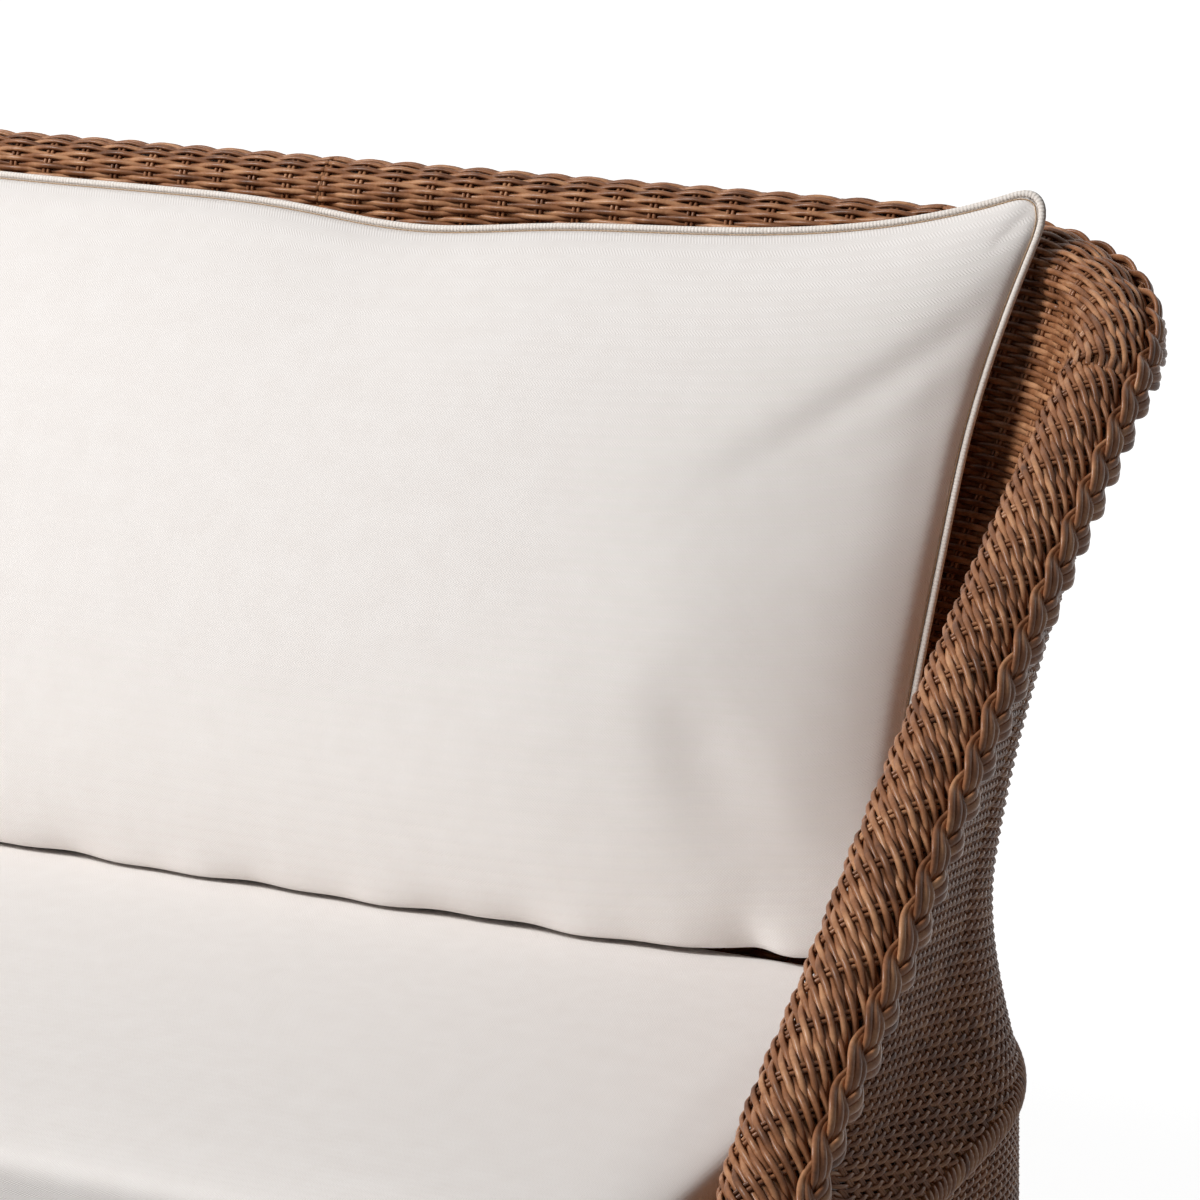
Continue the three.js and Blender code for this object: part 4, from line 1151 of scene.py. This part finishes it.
def build_back_cushion(rest_level, cloth, piping_cloth, stitch, fill, zip_material):
    wide = int(PILLOW_HALF_WIDTH * 2 / PILLOW_STEP)
    tall = int(PILLOW_HALF_HEIGHT * 2 / PILLOW_STEP)
    across, upward = eased_grid(wide, tall, 1.1, 1.0)
    a, b = rounded_plan(across, upward, PILLOW_HALF_WIDTH, PILLOW_HALF_HEIGHT, PILLOW_CORNER)

    def panel(side_power, depth):
        dome = (1 - np.abs(across) ** side_power) * (1 - np.abs(upward) ** PILLOW_HEIGHT_POWER)
        dome = np.sqrt(np.clip(dome, 0, 1)) * depth * PILLOW_START_SHARE
        return with_fabric(np.stack([a, b, dome], axis=-1))

    def front_depth(share):
        return mix(PILLOW_FRONT_FOOT, PILLOW_FRONT_TOP, (share + 1) / 2)

    flat, quads, border, rear_index = closed_grid(
        panel(PILLOW_FRONT_POWER, front_depth(upward)), panel(PILLOW_REAR_POWER, -PILLOW_REAR))
    flat, fabric = flat[:, :3], flat[:, 3:]
    soft = puffed(flat, quads, border, PILLOW_PRESSURE, PILLOW_TRAVEL)
    ahead = soft[:, 2] > 0
    limit = np.where(ahead, front_depth(flat[:, 1] / PILLOW_HALF_HEIGHT), PILLOW_REAR)
    tallest = max(np.quantile(soft[:, 2] / limit, 0.98), 0.1)
    deepest = max(np.quantile(-soft[:, 2] / limit, 0.98), 0.1)
    depth = soft[:, 2] / np.where(ahead, tallest, deepest)
    ripple = pillow_creases(flat[:, 0], flat[:, 1]) * np.clip(depth / CREASE_FADE, 0, 1)
    points = place_pillow(soft[:, 0], soft[:, 1], depth + ripple)
    seat_level = rest_level + PILLOW_REST_GAP
    above = points[:, 2] - seat_level
    above[border] -= PIPING_RADIUS
    points[:, 2] = seat_level + np.logaddexp(0, above / REST_SOFTNESS) * REST_SOFTNESS
    points[border, 2] += PIPING_RADIUS
    add_cover("back_cushion_cover", points, quads, fabric, "back_cushion",
              ["back_cushion_front", "back_cushion_rear"], cloth, border)
    add_filling("back_cushion_stuffing", points, quads, "back_cushion", "back_cushion_fill",
                fill)
    add_seam_trim(points, border, rear_index, seat_level, piping_cloth, stitch)
    zip_row = rear_index[wide // 4:wide * 3 // 4, 2]
    add_zip_tape("back_cushion", points, quads, zip_row, zip_material)


def add_seam_trim(points, border, rear_index, seat_level, piping_cloth, stitch):
    """The piping along the pillow's seam and the stitches in front of it."""
    seam = points[border]
    index = np.arange(rear_index.size).reshape(rear_index.shape)
    towards_front = unit(points[one_step_in(index)] - seam)
    towards_rear = unit(points[one_step_in(rear_index)] - seam)
    outer = -unit(towards_front + towards_rear)
    outer = unit((outer + np.roll(outer, 1, axis=0) + np.roll(outer, -1, axis=0)) / 3)
    cord = seam + outer * (PIPING_RADIUS - PIPING_SINK)
    cord[:, 2] = np.maximum(cord[:, 2], seat_level + PIPING_RADIUS)
    add_loop("back_cushion_piping", cord, outer, PIPING_RADIUS * 2, piping_cloth)
    lift = unit(outer - towards_front * (outer * towards_front).sum(axis=1)[:, None])
    stitches = seam + towards_front * STITCH_INSET + lift * STITCH_LIFT
    add_loop("back_cushion_stitches", stitches, lift, STITCH_RADIUS * 2, stitch)


def add_loop(name, path, ups, thickness, material):
    """A cord along a closed loop, its ends meeting."""
    strands = Strands()
    strands.add(np.vstack([path, path[:2]]), np.vstack([ups, ups[:2]]), thickness, thickness, 0.5,
                section=ROUND_SECTION)
    add_object(name, strands.mesh(name), "back_cushion", material, ["back_piping"])


SEAT_STEP = 9.0
SEAT_SHRINK = 3.0
SEAT_SIDE_SHRINK = 4.0
SEAT_CORNER = 55.0
SEAT_EDGE = 11.0
SEAT_EDGE_REACH = 24.0
SEAT_CROWN = 4.0
SEAT_BULGE_SHARE = 0.004
SEAT_PRESSURE = 3.0
SEAT_TRAVEL = 2.0


def build_seat_cushion(cloth, fill, zip_material):
    """Builds the seat cushion and gives the level that the pillow rests on."""
    low, high = node_box("seat_cushion_boxing")
    bottom = node_box("seat_cushion_bottom")[0][2]
    top = node_box("seat_cushion_top")[1][2]
    middle = (low + high) / 2
    middle[2] = (bottom + top) / 2
    half_x = (high[0] - low[0]) / 2 - SEAT_SHRINK - SEAT_SIDE_SHRINK
    half_y = (high[1] - low[1]) / 2 - SEAT_SHRINK
    half_z = (top - bottom) / 2 - SEAT_CROWN
    wide = int(half_x * 2 / SEAT_STEP)
    deep = int(half_y * 2 / SEAT_STEP)
    across, upward = eased_grid(wide, deep, 1.1, 1.2)
    a, b = rounded_plan(across, upward, half_x, half_y, SEAT_CORNER)
    edge = np.minimum((1 - np.abs(across)) * half_x, (1 - np.abs(upward)) * half_y)
    rest = np.clip(1 - edge / SEAT_EDGE_REACH, 0, 1)
    crown = SEAT_CROWN * (1 - across ** 4) * (1 - upward ** 6)
    height = half_z - SEAT_EDGE * (1 - np.sqrt(1 - rest ** 2)) + crown
    upper = np.stack([a, b, height], axis=-1)
    lower = np.stack([a, b, -height], axis=-1)
    levels = []
    for share in np.linspace(1, -1, 9)[1:-1]:
        ring = border_of(upper) * (1 + SEAT_BULGE_SHARE * (1 - share ** 2))
        ring[:, 2] = share * (half_z - SEAT_EDGE)
        levels.append(ring)
    flat, quads, border, rear_index = closed_grid(upper, lower, levels)
    points = puffed(flat, quads, border, SEAT_PRESSURE, SEAT_TRAVEL) + middle
    lowest, highest = points[:, 2].min(), points[:, 2].max()
    points[:, 2] = bottom + (points[:, 2] - lowest) * (top - bottom) / (highest - lowest)
    fabric = flat[:, :2] + np.array([0.0, 1.0]) * flat[:, 2:3]
    add_cover("seat_cushion_cover", points, quads, fabric, "seat_cushion",
              ["seat_cushion_top", "seat_cushion_bottom", "seat_cushion_boxing"], cloth)
    add_filling("seat_cushion_foam", points, quads, "seat_cushion", "seat_cushion_core", fill)
    middle_ring = wide * deep * 2 + 3 * len(border) + np.arange(len(border))
    rear_side = middle_ring[wide + deep - 2:wide * 2 + deep - 2]
    add_zip_tape("seat_cushion", points, quads, rear_side[wide // 4:wide * 3 // 4], zip_material)
    under_pillow = (np.abs(points[:, 0]) < PILLOW_HALF_WIDTH) & (points[:, 1] > PILLOW_REST_FRONT)
    return points[under_pillow, 2].max()


# Flat woven panels: the deck under the seat cushion and the apron in front

FLAT_REED = 5.2
FLAT_REED_HEIGHT = 2.2
FLAT_PITCH = 5.8
FLAT_WAVE = 1.7
FLAT_STAKE_PITCH = 32.0
FLAT_STAKE_SPACING = 5.2
FLAT_STAKE_WIDTH = 4.0
FLAT_STAKE_HEIGHT = 2.6
FLAT_STAKE_MARGIN = 4.0
APRON_SINK = 2.5


def flat_weave(name, point, way, rows, half_width, material, node):
    """Rows along X over paired stakes; point(x, row) places the panel and way points out of it."""
    strands = Strands()
    for row in range(rows):
        half = half_width(row)
        x = np.linspace(-half, half, max(int(half * 2 / FLAT_STAKE_PITCH * 3), 8))
        lift = FLAT_WAVE * np.cos(math.pi * (x / FLAT_STAKE_PITCH + row))
        strands.add(point(x, row) + way * lift[:, None], np.tile(way, (len(x), 1)),
                    FLAT_REED, FLAT_REED_HEIGHT)
    count = int(half_width(0) / FLAT_STAKE_PITCH)
    for stake in range(-count, count + 1):
        for offset in (-FLAT_STAKE_SPACING / 2, FLAT_STAKE_SPACING / 2):
            x = np.array([stake * FLAT_STAKE_PITCH + offset])
            crossed = [row for row in range(rows) if abs(x[0]) < half_width(row) - FLAT_STAKE_MARGIN]
            path = [point(x, row) for row in crossed]
            strands.add(np.vstack(path), np.tile(way, (len(path), 1)),
                        FLAT_STAKE_WIDTH, FLAT_STAKE_HEIGHT)
    add_object(name, strands.mesh(name), "frame", material, [node])


def build_deck(reed):
    low, high = node_box("seat_deck")
    rows = int((high[1] - low[1]) / FLAT_PITCH)

    def deck_y(row):
        return low[1] + (row + 0.5) * (high[1] - low[1]) / rows

    def half_width(row):
        past = max(deck_y(row) - (high[1] - INNER_FOOT_RADIUS), 0.0)
        return high[0] - INNER_FOOT_RADIUS + math.sqrt(INNER_FOOT_RADIUS ** 2 - past ** 2)

    def point(x, row):
        return columns(x, deck_y(row), (low[2] + high[2]) / 2)

    flat_weave("deck_reeds", point, np.array([0.0, 0.0, 1.0]), rows, half_width, reed, "seat_deck")


def build_apron(reed):
    low, high = node_box("apron_weave")
    centres = at_places(PLACES[PLACES <= 1], RIM)
    reach = ROLL_RADIUS * math.sin(ROLL_FOOT_TURN) - APRON_SINK
    rows = int((high[2] - low[2]) / FLAT_PITCH)

    def half_width(row):
        return high[0] - 1.0

    def point(x, row):
        height = low[2] + (row + 0.5) * (high[2] - low[2]) / rows
        return columns(x, float(np.interp(height, centres[:, 2], centres[:, 1])) - reach, height)

    flat_weave("apron_reeds", point, np.array([0.0, -1.0, 0.0]), rows, half_width, reed, "apron_weave")


# Studio: camera, floor, lights

CAMERA_PLACE = Vector((1.4718, -2.2857, 1.3878))
CAMERA_AZIMUTH = math.radians(25.1)
CAMERA_ELEVATION = math.radians(15.6)
CAMERA_LENS = 123.24
FLOOR_REACH = 12.0
FLOOR_GREY = 0.42
FLOOR_GLOW = 0.93
WORLD_LIGHT = 0.09
KEY_PLACE = Vector((-3.2, -3.0, 4.7))
KEY_TARGET = Vector((0.0, 0.0, 0.5))
KEY_SIZE = 2.2
KEY_POWER = 410.0


def add_aimed(name, data, place, direction):
    """A camera or a light at a place, looking along a direction."""
    thing = new_object(name, data)
    thing.location = place
    thing.rotation_mode = "QUATERNION"
    thing.rotation_quaternion = direction.to_track_quat("-Z", "Y")
    return thing


def build_camera():
    data = bpy.data.cameras.new("camera")
    data.lens = CAMERA_LENS
    data.sensor_width = 36.0
    direction = Vector((
        -math.sin(CAMERA_AZIMUTH) * math.cos(CAMERA_ELEVATION),
        math.cos(CAMERA_AZIMUTH) * math.cos(CAMERA_ELEVATION),
        -math.sin(CAMERA_ELEVATION),
    ))
    bpy.context.scene.camera = add_aimed("camera", data, CAMERA_PLACE, direction)


def build_floor():
    """A floor that looks white, though it is grey to the light that falls on it."""
    reach = FLOOR_REACH
    data = bpy.data.meshes.new("floor")
    data.from_pydata(
        [(-reach, -reach, 0), (reach, -reach, 0), (reach, reach, 0), (-reach, reach, 0)],
        [], [(0, 1, 2, 3)],
    )
    floor = new_object("floor", data)
    tree = Tree(bpy.data.materials.new("floor"))
    shader = tree.nodes["Principled BSDF"]
    shader.inputs["Base Color"].default_value = (FLOOR_GREY, FLOOR_GREY, FLOOR_GREY, 1.0)
    shader.inputs["Roughness"].default_value = 1.0
    strength = tree.math("MULTIPLY", tree.seen_directly(), FLOOR_GLOW)
    glow = tree.add("ShaderNodeEmission", Strength=strength)
    both = tree.nodes.new("ShaderNodeAddShader")
    tree.links.new(shader.outputs[0], both.inputs[0])
    tree.links.new(glow.outputs[0], both.inputs[1])
    tree.links.new(both.outputs[0], tree.nodes["Material Output"].inputs["Surface"])
    data.materials.append(tree.owner)


def build_lights():
    world = bpy.data.worlds.new("world")
    bpy.context.scene.world = world
    tree = Tree(world)
    background = tree.nodes["Background"]
    background.inputs["Color"].default_value = (1.0, 1.0, 1.0, 1.0)
    level = tree.math("MULTIPLY_ADD", tree.seen_directly(), 1.0 - WORLD_LIGHT, WORLD_LIGHT)
    tree.put(background.inputs["Strength"], level)
    key = bpy.data.lights.new("key", "AREA")
    key.size = KEY_SIZE
    key.energy = KEY_POWER
    add_aimed("key", key, KEY_PLACE, KEY_TARGET - KEY_PLACE)
    bpy.context.scene.view_settings.view_transform = "Standard"


build_camera()
build_floor()
build_lights()
reed = reed_material("reed", (92, 56, 34), (145, 96, 64), (190, 140, 102), 0.36)
braid = reed_material("braid", (96, 59, 37), (150, 100, 68), (194, 143, 104), 0.34)
cloth = herringbone_cloth("cloth", (247, 243, 240), (232, 225, 220))
piping_cloth = strand_cloth("piping", (247, 241, 235), (226, 215, 205), CORD_TWIST_PITCH, 0.0003)
stitch = strand_cloth("stitch", (204, 176, 146), (170, 140, 110), STITCH_PITCH, 0.0002)
foam = grained("foam", [(0.4, (214, 206, 176)), (0.8, (232, 226, 202))], 300.0,
               EVEN_GRAIN, 0.95, 0.0006)
fill = grained("fibre_fill", [(0.4, (226, 226, 222)), (0.8, (245, 245, 243))], 120.0,
               EVEN_GRAIN, 0.95, 0.001)
zip_material = strand_cloth("zip", (214, 207, 197), (150, 142, 132), ZIP_TEETH_PITCH, 0.0005)
pole = grained("pole", [(0.35, (112, 76, 48)), (0.62, (158, 118, 80)), (0.85, (186, 146, 104))],
               26.0, POLE_GRAIN, 0.5, 0.0005)
rubber = grained("rubber", [(0.3, (30, 27, 25)), (0.9, (52, 48, 45))], 90.0, EVEN_GRAIN, 0.8, 0.0004)
build_inner(reed)
build_outer(reed)
build_skirt(reed)
build_deck(reed)
build_apron(reed)
build_braid(braid)
build_wale(braid)
rest_level = build_seat_cushion(cloth, foam, zip_material)
build_back_cushion(rest_level, cloth, piping_cloth, stitch, fill, zip_material)
for name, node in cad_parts.items():
    finish = rubber if name.startswith("glide") else pole
    node.data.materials.clear()
    node.data.materials.append(finish)
